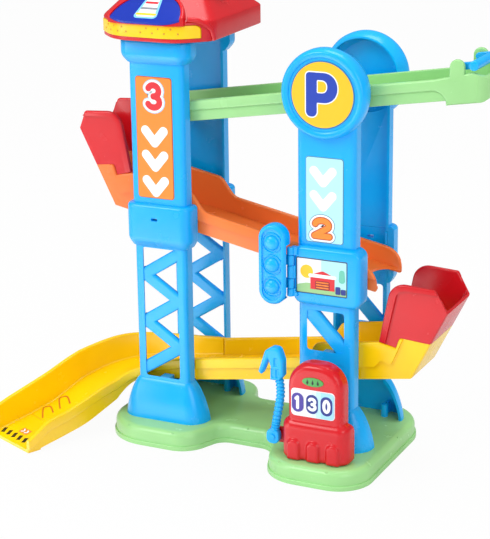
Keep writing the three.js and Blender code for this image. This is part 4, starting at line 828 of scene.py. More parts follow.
def light_front():
    face = light.front - light.recess
    body = prism("y", light_corners(), -light.front, -light.split, light.edge, 0)
    dish = prism("y", light_corners(1.5 * light.rim), -light.front - OVERRUN, -face, 0,
                 light.dish_edge)
    hollow = prism("y", light_corners(light.shell), light.shell - face, OVERRUN - light.split)
    under = face - light.shell / 2
    domes = []
    middle = light.ring_radius - light.ring_width / 2
    for step in (-1, 0, 1):
        z = light.rise + step * light.dome_distance
        dome = [(0, under), (light.dome_radius, under),
                *arc(0, face, light.dome_radius, light.dome_rise, 0, 90, 12)]
        domes.append(lathe(dome, "y", (light.x, 0, z), 48))
        half = light.ring_width / 2
        ring = [(middle - half, under), (middle + half, under),
                *arc(middle, face + light.ring_lift, half, light.ring_rise, 0, 180, 6)]
        domes.append(lathe(ring, "y", (light.x, 0, z), 56, closed=True))
    return join(cut(body, dish, hollow, light_notch()), *domes)


def light_back():
    split = light.split - GAP
    body = prism("y", light_corners(), -split, -light.back, 0, light.edge)
    hollow = prism("y", light_corners(light.shell), -split - OVERRUN, -light.back - light.shell)
    spans = lug_spans()
    wall_x = light.hinge_x - light.notch
    backing = box(wall_x - light.shell, wall_x, -split, -light.back - light.edge,
                  spans[0][0] - light.rim, spans[2][1] + light.rim)
    half = light.shell / 2
    knuckles = hinge_rods(light.hinge_x, knuckle_spans(), wall_x - light.shell, light.hinge_x,
                          (-light.hinge_y - half, half - light.hinge_y))
    bore = rod("z", light.hinge_x, -light.hinge_y, light.pin_radius + GAP, spans[0][0], spans[2][1])
    shell = cut(join(cut(body, hollow), backing), light_notch())
    return cut(join(shell, *knuckles), bore)


# Petrol pump and its hose

def pump_housing():
    p = pump
    low = base.height + GAP
    body = prism("y", arched(p.x - p.half_width, p.x + p.half_width, low, p.top, p.arch_corner),
                 -p.front, -p.back, p.edge, BACK_EDGE)
    skirt_front = p.front + p.skirt_proud
    plan = [(p.x - p.skirt_half_width, -p.back), (p.x - p.skirt_half_width, -skirt_front,
             p.skirt_corner), (p.x + p.skirt_half_width, -skirt_front, p.skirt_corner),
            (p.x + p.skirt_half_width, -p.back)]
    skirt = prism("z", plan, low, p.skirt_top + p.skirt_edge / 2, p.skirt_low / 2, p.skirt_edge)
    pieces = [skirt]
    for step in (-1, 0, 1):
        x = p.x + step * p.lobe_distance
        lobe = arched(x - p.lobe_radius, x + p.lobe_radius, low, p.lobe_top, p.lobe_radius - GAP)
        pieces.append(prism("y", lobe, -skirt_front - p.lobe_proud, -p.back - OVERRUN,
                            p.lobe_proud))
    whole = join(body, *pieces)
    back = box(p.x - 2 * p.half_width, p.x + 2 * p.half_width, -p.back, OVERRUN, 0, p.top)
    flat = box(p.x - 2 * p.half_width, p.x + 2 * p.half_width, -2 * p.front, 0, 0, low)
    return cut(soften(whole, p.voxel, p.passes), back, flat)


def pump_lug():
    """The lug on the pump's side that carries the hose's eye."""
    p = pump
    x, z, half = hose.pivot_x - hose.eye_half, hose.pivot_rise, p.lug_height / 2
    low = hose.y + hose.eye_thickness / 2 + GAP
    corners = [(x, z - half, half / 2), (p.x - p.half_width, z - half),
               (p.x - p.half_width, z + half), (x, z + half, half / 2)]
    plate = prism("y", corners, low, low + p.lug_thickness, PLAIN_EDGE)
    bore = rod("y", hose.pivot_x, z, hose.pin_radius + GAP, low - OVERRUN, low + 2 * OVERRUN)
    return cut(plate, bore)


HOSE_ROUTE = [(52.1, 42), (53.4, 48), (54.7, 56), (56.9, 68), (58.7, 80), (58.5, 90), (57.1, 99)]


def spline(points, share):
    """A place and its heading on the smooth curve through points."""
    place = share * (len(points) - 1)
    i = min(int(place), len(points) - 2)
    t = place - i
    p = [Vector(points[min(max(k, 0), len(points) - 1)]) for k in range(i - 1, i + 3)]
    v0, v1 = (p[2] - p[0]) / 2, (p[3] - p[1]) / 2
    rise = p[2] - p[1]
    at = p[1] + v0 * t + (3 * rise - 2 * v0 - v1) * t ** 2 + (v0 + v1 - 2 * rise) * t ** 3
    along = v0 + 2 * (3 * rise - 2 * v0 - v1) * t + 3 * (v0 + v1 - 2 * rise) * t ** 2
    return at, along.normalized()


def hose_tube():
    """A tube along the route whose wall bulges in one rounded rib after another."""
    per_rib = 8
    count = hose.ribs * per_rib
    rings = []
    for i in range(count + 1):
        at, along = spline(HOSE_ROUTE, i / count)
        wave = math.sin(math.pi * i / per_rib) ** 2
        radius = hose.radius - hose.rib_sink + (hose.rib + hose.rib_sink) * wave ** hose.rib_power
        up = Vector((along.y, 0, -along.x))
        centre = Vector((at.x, hose.y, at.y))
        rings.append([centre + Vector((0, a, 0)) + up * b
                      for a, b in circle(0, 0, radius, hose.sides)])
    return loft(rings)


# The nozzle's outline: (across, up, corner) as shares of the grip's half width and height
NOZZLE_OUTLINE = (
    (-0.55, 0, 0), (0.55, 0, 0), (1, 0.16, 0.3), (1, 0.62, 0.4), (0.5, 1, 0.6), (-0.35, 1, 0.6),
    (-1.15, 0.86, 0.3), (-1.95, 0.2, 0.1), (-1.55, 0.12, 0.1), (-0.75, 0.62, 0), (-0.5, 0.4, 0),
)
# Its sunk panels: the middle's shift and the lower and upper end above the grip's foot
NOZZLE_PANELS = ((-1.8, 3, 12), (3.4, 3, 12), (1.4, 14.5, 23))


def hose_nozzle():
    """The nozzle: a thick grip with sunk panels and a spout that hooks down."""
    h = hose
    height = h.grip_top - h.grip_low
    corners = [(h.grip_x + h.grip_half_width * across, h.grip_low + height * up,
                h.grip_half_width * corner) for across, up, corner in NOZZLE_OUTLINE]
    half = h.grip_thickness / 2
    face = h.y - half
    grip = prism("y", corners, face, h.y + half, h.grip_edge)
    sunk = []
    for shift, low, high in NOZZLE_PANELS:
        x = h.grip_x + shift
        panel_corners = rectangle(x - h.sunk_half, x + h.sunk_half, h.grip_low + low,
                                  h.grip_low + high, h.sunk_corner)
        sunk.append(prism("y", panel_corners, face - OVERRUN, face + h.sunk))
    return soften(cut(grip, *sunk), h.voxel, h.passes)


def hose_moulding():
    h = hose
    corners = rectangle(h.pivot_x - h.eye_half, h.pivot_x + h.eye_half,
                        h.pivot_rise - h.eye_height, h.pivot_rise + h.eye_height, h.eye_corner)
    half = h.eye_thickness / 2
    eye = prism("y", corners, h.y - half, h.y + half, h.eye_edge)
    bore = rod("y", h.pivot_x, h.pivot_rise, h.pin_radius + GAP, h.y - h.eye_thickness,
               h.y + h.eye_thickness)
    return cut(join(hose_tube(), hose_nozzle(), eye), bore)


def add_fittings():
    finish("traffic_light_front_moulding", light_front(), blue, ["traffic_light_front"],
           "traffic_light")
    finish("traffic_light_back_moulding", light_back(), blue, ["traffic_light_back"],
           "traffic_light")
    finish("pump_moulding", join(pump_housing(), pump_lug()), red, ["pump_housing"],
           crease=MELTED)
    finish("hose_moulding", hose_moulding(), blue, ["fuel_hose"], "fuel_nozzle", crease=MELTED)
    finish("gate_moulding", gate_moulding(), blue, ["gate_bar"], "gate")


# Gate at the top ramp's end: a crossbar on two arms

def gate_moulding():
    low, high = node_box("gate_bar")
    g = gate
    half = (high.y - low.y) / 2
    pin = Vector((g.post_x, g.pin_rise))
    bar = Vector((high.x - g.bar, g.pin_rise + g.bar_lift))
    run = (bar - pin).normalized()
    over = Vector((-run.y, run.x)) * g.arm_half
    arm = [tuple(place) for place in (pin + over, pin - over, bar - over, bar + over)]
    return join(rod("y", *bar, g.bar, -half, half, g.bar_edge),
                *slabs(arm, g.inner, g.outer, g.edge),
                *slabs(circle(*pin, g.arm_half), g.inner, g.outer, g.edge),
                *slabs(circle(*pin, g.pin_radius), g.inner, g.pin_end))


# Ramps between the towers: their profiles run along X and their rails are rounded on both sides

ramp = Named(half_width=36.3, skirt_half=33.8, inside_half=31.3, rail=10.5, thickness=5, floor=2.6,
             skirt_drop=3, edge=2, small_edge=0.8)
top_ramp = Named(
    left=-116, right=241, bottom=320.6, slope=0.155, height=20.8, proud_run=51, proud_drop=4,
    proud_rise=3.4, arch_radius=12, end_corner=14, dip=8, dip_half_width=22, post_inset=29,
    post_half_width=7, post_top=408.8, pin_drop=7.3, pin_bore=3, pin_radius=2.4,
)
catcher = Named(
    rise=61.5, front_lean=12, crown=17, back_drop=2.5, back_radius=3.5, rim_width=6.6,
    notch_run=17.5, notch_drop=4, notch_lean=3.5, notch_rise=10.5, notch_radius=3, cap_drop=2.4,
    lean=0.5, corner=7, recess_notch_rise=20, recess_tongue_run=13, recess_tongue_rise=17,
    tongue_low=9, tongue_high=8, tongue_thickness=2, tongue_start=3.5, tongue_end=13.2,
)
middle_ramp = Named(
    facing=-1, edge=-128.5, bottom=230.9, climb=0.2, length=264.5, height=23.4, tall_height=40,
    tall_run=67, tall_fall=14, floor_run=22.2, start_radius=2.4, end_radius=21, corner_run=52,
    end_rise=39, scoop_length=20, scoop_half_width=31.2,
)
lower_ramp = Named(
    facing=1, edge=139, bottom=90.1, climb=0.155, length=200.6, height=23.2, tall_height=38.5,
    tall_run=66, tall_fall=10, floor_run=33.7, start_radius=0, end_radius=0, corner_run=56,
    end_rise=36, lap_reach=8, lap_thickness=2.2, lap_half_width=22,
)


def tabs(x, z, near=ramp.skirt_half - tab.height):
    half_width, half_height = tab.width / 2, tab.height / 2
    return slabs(rectangle(x - half_width, x + half_width, z - half_height, z + half_height),
                 near, tab.half_width + tab.reach)


def top_at(x, up, radius=0):
    return (x, top_ramp.bottom + top_ramp.slope * (x - top_ramp.left) + up, radius)


def top_ramp_moulding():
    t, r = top_ramp, ramp
    proud, soft = t.right - t.proud_run, t.end_corner / 2
    end = [top_at(t.right, -t.proud_drop, soft), top_at(t.right, t.height - t.proud_drop, soft),
           top_at(t.right - t.end_corner, t.height + t.proud_rise, soft), top_at(proud, t.height),
           top_at(t.left, t.height)]
    rail = [top_at(t.left, t.height - r.rail),
            top_at(proud + t.arch_radius, t.height - r.rail, t.arch_radius),
            top_at(proud + t.arch_radius, -t.proud_drop), *end]
    step = proud + t.arch_radius
    skirt = [top_at(t.left, 0), top_at(step, 0), top_at(step, -t.proud_drop), *end]
    floor = [top_at(t.left, r.skirt_drop), top_at(t.right - r.thickness, r.skirt_drop),
             top_at(t.right - r.thickness, r.skirt_drop + r.floor),
             top_at(t.left, r.skirt_drop + r.floor)]
    low, high = t.bottom - t.height, top_at(t.right, 2 * t.height)[1]

    def plan(x0, x1, half_width, corner):
        return prism("z", [(x0, -half_width), (x1, -half_width, corner), (x1, half_width, corner),
                           (x0, half_width)], low, high)

    start = t.right - 2 * t.end_corner
    end_block = prism("y", [top_at(start, -t.proud_drop), *end[:3],
                            top_at(start, t.height + t.proud_rise / 2)],
                      r.small_edge / 2 - r.half_width, r.half_width - r.small_edge / 2, r.edge)
    hollow = cut(plan(start - OVERRUN, t.right - r.thickness, r.inside_half,
                      t.end_corner - r.thickness),
                 prism("y", floor, -r.half_width, r.half_width))
    rim_top = top_at(t.right, t.height)[1]
    wide = t.dip_half_width
    dip = prism("x", [(-wide / 2, rim_top - t.dip, t.dip), (wide / 2, rim_top - t.dip, t.dip),
                      (wide, rim_top + t.height), (-wide, rim_top + t.height)],
                t.right - 2 * r.thickness, t.right + OVERRUN)
    end_block = cut(end_block, hollow, dip)
    post_x = t.right - t.post_inset
    post_low = top_at(post_x, t.height / 2)[1]
    post = arched(post_x - t.post_half_width, post_x + t.post_half_width, post_low, t.post_top,
                  t.post_half_width - GAP)
    pieces = [prism("y", floor, -r.skirt_half, r.skirt_half),
              *slabs(rail, r.inside_half, r.half_width, r.edge),
              *slabs(skirt, r.inside_half, r.skirt_half, r.small_edge),
              *slabs(post, r.inside_half, r.half_width, r.edge - r.small_edge)]
    whole = meet(join(end_block, *pieces),
                 plan(t.left - OVERRUN, t.right, r.half_width + GAP, t.end_corner))
    bore_half = r.inside_half + t.pin_bore
    bore = rod("y", post_x, t.post_top - t.pin_drop, t.pin_radius + GAP, -bore_half, bore_half)
    whole = join(whole, *tabs(-TOWER_X, tab_rises.top_left), *tabs(TOWER_X, tab_rises.top_right))
    return cut(whole, bore)


def bin_outline(piece, corners):
    """Corners given by run from the catcher's edge and rise from the ramp's underside there."""
    places = [(piece.edge + piece.facing * run, piece.bottom + rise, radius)
              for run, rise, radius in ((*corner, 0)[:3] for corner in corners)]
    return places if piece.facing > 0 else places[::-1]


def on_slope(piece, run, up, radius=0):
    return (run, piece.climb * run + up, radius)


def on_end(piece, rise):
    return (piece.floor_run + catcher.lean * (rise - piece.climb * piece.floor_run), rise)


def leaning_block(piece, inner, outer, half_width, corner):
    """A block whose outer end leans outwards like the catcher's end wall."""
    foot_z = piece.bottom + piece.climb * piece.floor_run
    reach = piece.tall_height + 2 * catcher.rise
    corners = [(piece.edge + piece.facing * run, y, radius) for run, y, radius in (
        (inner, -half_width, 0), (outer, -half_width, corner), (outer, half_width, corner),
        (inner, half_width, 0))]
    plan = outline(corners if piece.facing > 0 else corners[::-1])
    lean = Vector((piece.facing * catcher.lean * reach, 0, reach))
    foot_ring = [Vector((p.x, p.y, foot_z)) for p in plan]
    return loft([[p - lean for p in foot_ring], [p + lean for p in foot_ring]])


def trough(piece, profile, recess):
    """Two cheeks of a profile and the leaning wall that joins them at the outer end."""
    r = ramp
    inner = -piece.length - OVERRUN
    outer = r.skirt_half, r.half_width + OVERRUN
    cheeks = [cut(slab, *slabs(recess, *outer))
              for slab in slabs(profile, r.inside_half, r.half_width, r.edge)]
    wall = cut(leaning_block(piece, piece.floor_run - 2 * catcher.corner, piece.floor_run,
                             r.half_width, catcher.corner),
               leaning_block(piece, inner, piece.floor_run - r.thickness / 2, r.inside_half,
                             catcher.corner - r.thickness / 2))
    wall = meet(wall, prism("y", profile, -r.half_width - GAP, r.half_width + GAP))
    wall = cut(wall, *slabs(recess, *outer))
    block = leaning_block(piece, inner, piece.floor_run, r.half_width + GAP, catcher.corner)
    return meet(join(wall, *cheeks), block)


def catcher_ramp(piece, *extras):
    p, c, r = piece, catcher, ramp
    cap = p.tall_height - c.notch_drop + c.notch_rise
    profile = bin_outline(p, [
        on_slope(p, -p.length, 0, p.start_radius), on_slope(p, p.floor_run, 0, c.notch_radius),
        on_end(p, cap - c.cap_drop), (c.notch_run + c.notch_lean, cap, c.notch_radius),
        (c.notch_run, p.tall_height - c.notch_drop), (0, p.tall_height),
        on_slope(p, -p.tall_run, p.tall_height, p.tall_fall),
        on_slope(p, -p.tall_run - p.tall_fall, p.height, p.tall_fall),
        on_slope(p, -p.length, p.height, p.end_radius),
    ])
    start, far = -p.length - OVERRUN, p.floor_run + c.rise
    rail_low = p.height - r.rail
    recess = bin_outline(p, [
        on_slope(p, start, -p.tall_height), on_slope(p, far, -p.tall_height),
        (far, p.tall_height + c.rise), (c.notch_run + c.lean * c.rise, p.tall_height + c.rise),
        (c.recess_tongue_run, c.recess_tongue_rise, c.notch_radius),
        (c.notch_drop / 2, c.recess_notch_rise, c.notch_radius),
        (-c.notch_drop, rail_low, c.notch_radius), on_slope(p, start, rail_low),
    ])
    floor = prism("y", bin_outline(p, [
        on_slope(p, -p.length, r.skirt_drop), on_slope(p, p.floor_run, r.skirt_drop),
        on_slope(p, p.floor_run, r.skirt_drop + r.floor),
        on_slope(p, -p.length, r.skirt_drop + r.floor),
    ]), -r.skirt_half, r.skirt_half)
    return join(trough(p, profile, recess), floor, *extras)


def catcher_hood(piece):
    p, c, r = piece, catcher, ramp
    rim = p.tall_height + GAP
    cap, top = rim - c.notch_drop + c.notch_rise, rim + c.rise
    cheek = bin_outline(p, [
        (0, rim), (c.notch_run - GAP, rim - c.notch_drop),
        (c.notch_run + c.notch_lean - GAP, cap, c.notch_radius), on_end(p, cap - c.cap_drop),
        on_end(p, rim + p.end_rise), (p.corner_run, top - c.back_drop, c.back_radius),
        (c.front_lean, top, c.crown),
    ])
    far = p.corner_run + c.rise
    recess = bin_outline(p, [
        (c.rim_width - c.notch_drop / 2, rim - c.notch_rise), (far, rim - c.notch_rise),
        (far, top - c.rim_width - c.back_drop),
        (c.front_lean + c.rim_width, top - c.rim_width, c.crown - c.rim_width),
    ])
    inner = r.inside_half - GAP - c.tongue_thickness
    tongues = []
    for low, outer in ((-c.tongue_low, r.inside_half - GAP), (GAP, r.inside_half + r.small_edge)):
        tongue = rectangle(c.tongue_start, c.tongue_end, rim + low, rim + c.tongue_high)
        tongues += slabs(bin_outline(p, tongue), inner, outer)
    return join(trough(p, cheek, recess), *tongues)


def lower_lap():
    """The tongue by which the lower ramp rests under the exit ramp's floor."""
    p = lower_ramp
    left = p.edge - p.length

    def soffit(run):
        return slide_height(run, slide.start_floor, FLOOR_SHARES) - ramp.floor - GAP

    low = soffit(p.lap_reach) - p.lap_thickness
    corners = [(left - p.lap_reach, low), (left + p.lap_reach, low),
               (left + p.lap_reach, soffit(0) + ramp.floor), (left, soffit(0) + ramp.floor),
               (left, soffit(0) - GAP), (left - p.lap_reach, soffit(p.lap_reach) - GAP)]
    return prism("y", corners, -p.lap_half_width, p.lap_half_width)


def floor_scoop():
    """The rounded bite out of the middle ramp's floor at its lower end."""
    p = middle_ramp
    low = p.bottom - p.climb * p.length
    corners = [(p.edge + p.length + p.scoop_length * a, p.scoop_half_width * b)
               for a, b in circle(0, 0, 1, 64)]
    return prism("z", corners, low - OVERRUN, low + p.height)


def add_ramps():
    finish("top_ramp_moulding", top_ramp_moulding(), green, ["top_ramp"])
    middle = catcher_ramp(middle_ramp,
                          *tabs(tab_rises.middle_shift - TOWER_X, tab_rises.middle_left),
                          *tabs(TOWER_X, tab_rises.middle_right))
    finish("middle_ramp_moulding", cut(middle, floor_scoop()), orange, ["middle_ramp"])
    lower = catcher_ramp(lower_ramp, lower_lap(), *tabs(TOWER_X, tab_rises.lower))
    finish("lower_ramp_moulding", lower, yellow, ["lower_ramp"])
    finish("left_catcher_moulding", catcher_hood(middle_ramp), red, ["left_catcher"])
    finish("right_catcher_moulding", catcher_hood(lower_ramp), red, ["right_catcher"])


# Exit ramp: a straight run to the left, a bend to the front and a straight run to the floor

slide = Named(
    start=-61.9, straight=60.5, bend=60, turn=math.radians(65.6), tail=112, start_floor=64.3,
    inner_start=82.4, outer_start=82.6, skirt_drop=1.6, foot_length=15, rail_edge=1.5, fillet=2,
    sections=84,
)
SLIDE_LENGTH = slide.straight + slide.bend * slide.turn + slide.tail
FLOOR_SHARES = (1, 0.944, 0.891, 0.84, 0.739, 0.588, 0.428, 0.277, 0.19, 0.118, 0.05)
OUTER_SHARES = (1, 0.982, 0.961, 0.942, 0.914, 0.817, 0.727, 0.619, 0.528, 0.44, 0.35)
INNER_SHARES = (1, 0.94, 0.862, 0.765, 0.71, 0.649, 0.583, 0.49, 0.4, 0.335, 0.17)


def slide_at(run):
    """Place and left-hand side at a distance along the ramp's centreline."""
    bend = slide.bend * slide.turn
    angle = min(max(run - slide.straight, 0), bend) / slide.bend
    heading = Vector((-math.cos(angle), -math.sin(angle), 0))
    place = Vector((slide.start - min(run, slide.straight) - slide.bend * math.sin(angle),
                    slide.bend * (math.cos(angle) - 1), 0))
    rest = max(run - slide.straight - bend, 0)
    return place + heading * rest, Vector((-heading.y, heading.x, 0))


def slide_height(run, start, shares):
    share = min(max(run / SLIDE_LENGTH, 0), 1)
    return spline([(0, start * s) for s in shares], share)[0].y


def slide_section(run, grounded):
    """The ramp's section at a run, as wide as the ramps between the towers."""
    s, r = slide, ramp
    floor = slide_height(run, s.start_floor, FLOOR_SHARES)
    outer = slide_height(run, s.outer_start, OUTER_SHARES)
    inner = slide_height(run, s.inner_start, INNER_SHARES)
    soffit = 0 if grounded else floor - r.floor
    under = 0 if grounded else max(soffit - s.skirt_drop, 0)
    near, far, e = r.inside_half, r.half_width, s.rail_edge

    def rail(way, top):
        """The rail's rounded section, from its skirt's outside up and over to the floor."""
        points = [(r.skirt_half, top - r.rail), *arc(far - e, top - r.rail + e, e, e, -90, 0, 3),
                  *arc(far - e, top - e, e, e, 0, 90, 4), *arc(near + e, top - e, e, e, 90, 180, 4)]
        return [(way * a, z) for a, z in points]

    corner = arc(near - s.fillet, floor + s.fillet, s.fillet, s.fillet, 0, -90, 4)
    points = [(-r.skirt_half, under), (-near, under), (-near, soffit), (near, soffit),
              (near, under), (r.skirt_half, under), *rail(1, inner), *corner,
              *[(-a, z) for a, z in reversed(corner)], *reversed(rail(-1, outer))]
    place, left = slide_at(run)
    return [place + left * a + Vector((0, 0, z)) for a, z in points]


def slide_run(start, end, steps, grounded):
    return loft([slide_section(start + (end - start) * i / steps, grounded)
                 for i in range(steps + 1)])


def exit_ramp_moulding():
    s = slide
    return join(slide_run(0, SLIDE_LENGTH, s.sections, False),
                slide_run(SLIDE_LENGTH - s.foot_length, SLIDE_LENGTH, 6, True),
                *tabs(-TOWER_X, tab_rises.exit, ramp.inside_half))


def on_slide(run, side, up):
    place, left = slide_at(run)
    floor = slide_height(run, slide.start_floor, FLOOR_SHARES)
    return place + left * side + Vector((0, 0, floor + up))


def draped(name, path, width, material, step=1):
    """A printed line of even width on the exit ramp's floor, its path in (run, side) places."""
    rings = []
    count = 20
    for i in range(count + 1):
        at, along = spline(path, i / count)
        over = Vector((-along.y, along.x)) * width / 2
        rings.append([on_slide(*(at + over * way), up * INK_STEP)
                      for way, up in ((1, -1), (-1, -1), (-1, step), (1, step))])
    finish(name, loft(rings), material)


SLIDE_ARCHES = (((193.5, -11), (182, -27), (177, -27.5), (175, -23), (180.5, -10.5)),
                ((172, -10), (162, -26), (157.5, -25.5), (155.5, -20), (161, -7.5)))
SLIDE_SEAM = ((195, -29), (196.5, -9))
SLIDE_LABEL = ((220.5, -10), (220.5, 4))
slide_marks = Named(sides=(-6, 0), runs=(218, 220.5, 223), reach=1.5)
slide_stripes = Named(count=5, first=-26, gap=9.6, start=227.5, end=235, reach=2)


def add_slide_prints():
    """Two arches, a small label, a seam and a row of hazard stripes."""
    for i, path in enumerate(SLIDE_ARCHES):
        draped(f"slide_arch_{i + 1}", path, width=1.7, material=inks.brown)
    draped("slide_seam", SLIDE_SEAM, width=0.5, material=inks.ochre)
    draped("slide_label", SLIDE_LABEL, width=8, material=inks.orange)
    for i, side in enumerate(slide_marks.sides):
        mark = [(run, side + way * slide_marks.reach)
                for run, way in zip(slide_marks.runs, (-1, 1, -1))]
        draped(f"slide_label_mark_{i + 1}", mark, width=1.4, material=inks.white, step=2)
    stripes = slide_stripes
    for i in range(stripes.count):
        side = stripes.first + stripes.gap * i
        path = [(stripes.start, side - stripes.reach), (stripes.end, side + stripes.reach)]
        draped(f"slide_stripe_{i + 1}", path, width=4.2, material=inks.black)


# Roof over the left tower, drawn about that tower's axis

def roof_plan(inset, width_share=1.0, length_share=1.0):
    r = roof
    corners = [
        (-r.half_width, -r.side_length, r.side_corner),
        (-r.bow_width, -r.half_length, r.bow_corner), (r.bow_width, -r.half_length, r.bow_corner),
        (r.half_width, -r.side_length, r.side_corner),
        (r.rear_half_width, r.rear_length, r.rear_corner),
        (-r.rear_half_width, r.rear_length, r.rear_corner),
    ]
    return [Vector((p.x * width_share, p.y * length_share)) for p in outline(corners, inset)]


# (share of the rise, share of the way in to the crown) up the hood's slope
HOOD_SLOPE = ((0, 0), (0.03, 0.012), (0.08, 0.05), (0.86, 0.8), (0.93, 0.87), (0.97, 0.92),
              (0.992, 0.96), (1, 1))


def roof_hood(inset, low):
    """The hood: an upright hem, a long slope and a rounded crown."""
    r = roof
    hem = [(low, inset)] if inset else [(low + rise, inward) for rise, inward in rounding(r.lip)]
    rings = [placed(roof_plan(grow), z, "z") for z, grow in hem]
    for up, narrow in HOOD_SLOPE:
        wide = 1 - narrow * (1 - r.crown_half_width / r.half_width)
        long = 1 - narrow * (1 - r.crown_half_length / r.half_length)
        z = r.eaves + (r.top - inset - r.eaves) * up
        rings.append(placed(roof_plan(inset, wide, long), z, "z"))
    return loft(rings)


BADGE_FRAME = (Matrix.Translation((0, -roof.half_length, roof.eaves))
               @ Matrix.Rotation(math.radians(roof.badge_lean), 4, "X"))
BADGE_FACE = roof.badge_ridge - roof.badge_sink / 3


def half_disc(radius, low, high, edge, drop):
    points = arc(0, 0, radius, radius, 0, 180, 32) + [(-radius, -drop), (radius, -drop)]
    piece = prism("z", points, low, high, 0, edge)
    piece.data.transform(BADGE_FRAME)
    return piece


def roof_band(grow):
    r = roof
    low, high = r.band_low - grow, r.band_high + grow
    edge = 0 if grow else 0.5
    ring = cut(prism("z", roof_plan(-r.band_proud - grow), low, high, edge),
               prism("z", roof_plan(r.band_proud + grow), low - OVERRUN, high + OVERRUN))
    left, right = r.band_left - grow, r.band_right + grow
    reach = prism("y", [(left, low - OVERRUN), (right, low - OVERRUN),
                        (right, high, r.band_corner), (left, high, r.band_corner / 2)],
                  -2 * r.half_length, grow - r.band_reach)
    return meet(ring, reach)


def badge_block(grow, high, edge=0.0):
    """The badge's half-disc, carried down the hood's front to the band."""
    r = roof
    block = half_disc(r.badge_radius + grow, r.badge_ridge - r.badge_sink - grow, high, edge,
                      r.badge_drop)
    limit = prism("z", roof_plan(-r.badge_ridge - grow), r.band_high + 2 * GAP - grow,
                  r.top + r.badge_ridge)
    return meet(block, limit)


RIDGE_ROUTE = ((43, -63, 434), (52, -57, 432), (59.5, -47, 424), (61.3, -42, 413))


def side_ridge():
    """A rounded rib that runs from the badge down the hood's right flank to the hem."""
    count = 24
    rings = []
    for i in range(count + 1):
        at, along = spline(RIDGE_ROUTE, i / count)
        at = Vector((at.x * roof.ridge_sink, at.y * roof.ridge_sink, at.z))
        side = along.cross(Vector((0, 0, 1))).normalized()
        up = side.cross(along)
        rings.append([at + side * a + up * b for a, b in circle(0, 0, roof.ridge_radius, 20)])
    return loft(rings)


def roof_shell():
    r = roof
    ridge = half_disc(r.badge_radius + r.badge_ridge, -r.badge_deep, r.badge_ridge, r.ridge_edge,
                      r.badge_ridge)
    limit = prism("z", roof_plan(-r.badge_ridge), r.band_high, r.top + r.badge_ridge)
    pocket = badge_block(GAP, r.badge_ridge + OVERRUN)
    hood = cut(join(roof_hood(0, r.low), meet(ridge, limit), side_ridge()),
               roof_hood(r.wall, r.low - OVERRUN), pocket)
    places = [(sx * r.boss_x, sy * r.boss_y) for sx in (-1, 1) for sy in (-1, 1)]
    bosses = join(*[rod("z", x, y, screws.boss, r.boss_low, r.top) for x, y in places])
    hood = join(hood, meet(bosses, roof_hood(r.wall / 2, r.low)))
    bores = [rod("z", x, y, screws.shaft + GAP, r.low, r.low + r.bore) for x, y in places]
    return cut(hood, roof_band(GAP), *bores)


def roof_sign_moulding():
    """The oval sign: a rounded yellow rim around a sunk plate."""
    low, high = node_box("roof_sign")
    middle, half = (low + high) / 2, (high - low) / 2
    rim, edge = roof.sign_rim, roof.sign_edge
    levels = [(low.z, 0)]
    levels += [(high.z - rise, inset) for rise, inset in reversed(rounding(edge, 6))]
    levels += [(high.z - edge / 6, rim - edge / 3), (middle.z, rim), (low.z + roof.sign_floor, rim)]
    return loft([[Vector((middle.x + (half.x - inset) * x, middle.y + (half.y - inset) * y, z))
                  for x, y in circle(0, 0, 1, 72)] for z, inset in levels])


# Where each group of dots starts and ends, as shares of the band's half length
DOT_GROUPS = ((-0.86, -0.34), (-0.06, 0.62))


def band_dots():
    """Two rows of small raised dots around the band, in two groups."""
    r = roof
    front = sorted((p for p in roof_plan(-r.band_proud) if p.y < -r.band_reach - OVERRUN),
                   key=lambda p: math.atan2(p.x, -p.y))
    dome = [(0, -r.dot_sink), (r.dot, -r.dot_sink), *arc(0, 0, r.dot, r.dot_proud, 0, 90, 5)]
    dots = []
    for start, end in DOT_GROUPS:
        for i in range(r.dots):
            x = (start + (end - start) * i / (r.dots - 1)) * r.dots_half
            z = r.dot_rise + (r.dot_shift if i % 2 else -r.dot_shift)
            dots.append(moved(lathe(dome, "y", (x, 0, z), 16), 0, band_front(front, x)))
    return dots


def band_front(ring, x):
    """Where the band's front lies at x."""
    for a, b in zip(ring, ring[1:]):
        if a.x <= x <= b.x and b.x > a.x:
            return a.y + (b.y - a.y) * (x - a.x) / (b.x - a.x)
    return ring[0].y


PRINT_SINK = 0.05
PRINT_EDGE = 0.1
BADGE_STEP = 0.15
# a pale band behind the deck tower: partly print, partly a painted highlight where a domed badge
# catches the light
BADGE_PRINT_AND_HIGHLIGHT = ((-13, 3, 4), (13, 3, 4), (8, 34, 4), (-8, 34, 4))
BADGE_WALL = ((-10, 5, 2), (10, 5, 2), (6, 32, 2), (-6, 32, 2))
# The decks' foot, half width and ink
BADGE_DECKS = ((7, 11, inks.yellow), (15, 9, inks.grey), (23, 7, inks.red))
DECK_HEIGHT = 3
DECK_CORNER = 1.4


def badge_layer(name, corners, rise, material):
    """A thin printed form on the badge: x across and y up its slope."""
    piece = prism("z", corners, BADGE_FACE - PRINT_SINK, BADGE_FACE + rise, 0, PRINT_EDGE)
    piece.data.transform(BADGE_FRAME)
    finish(name, moved(piece, roof.x), material)


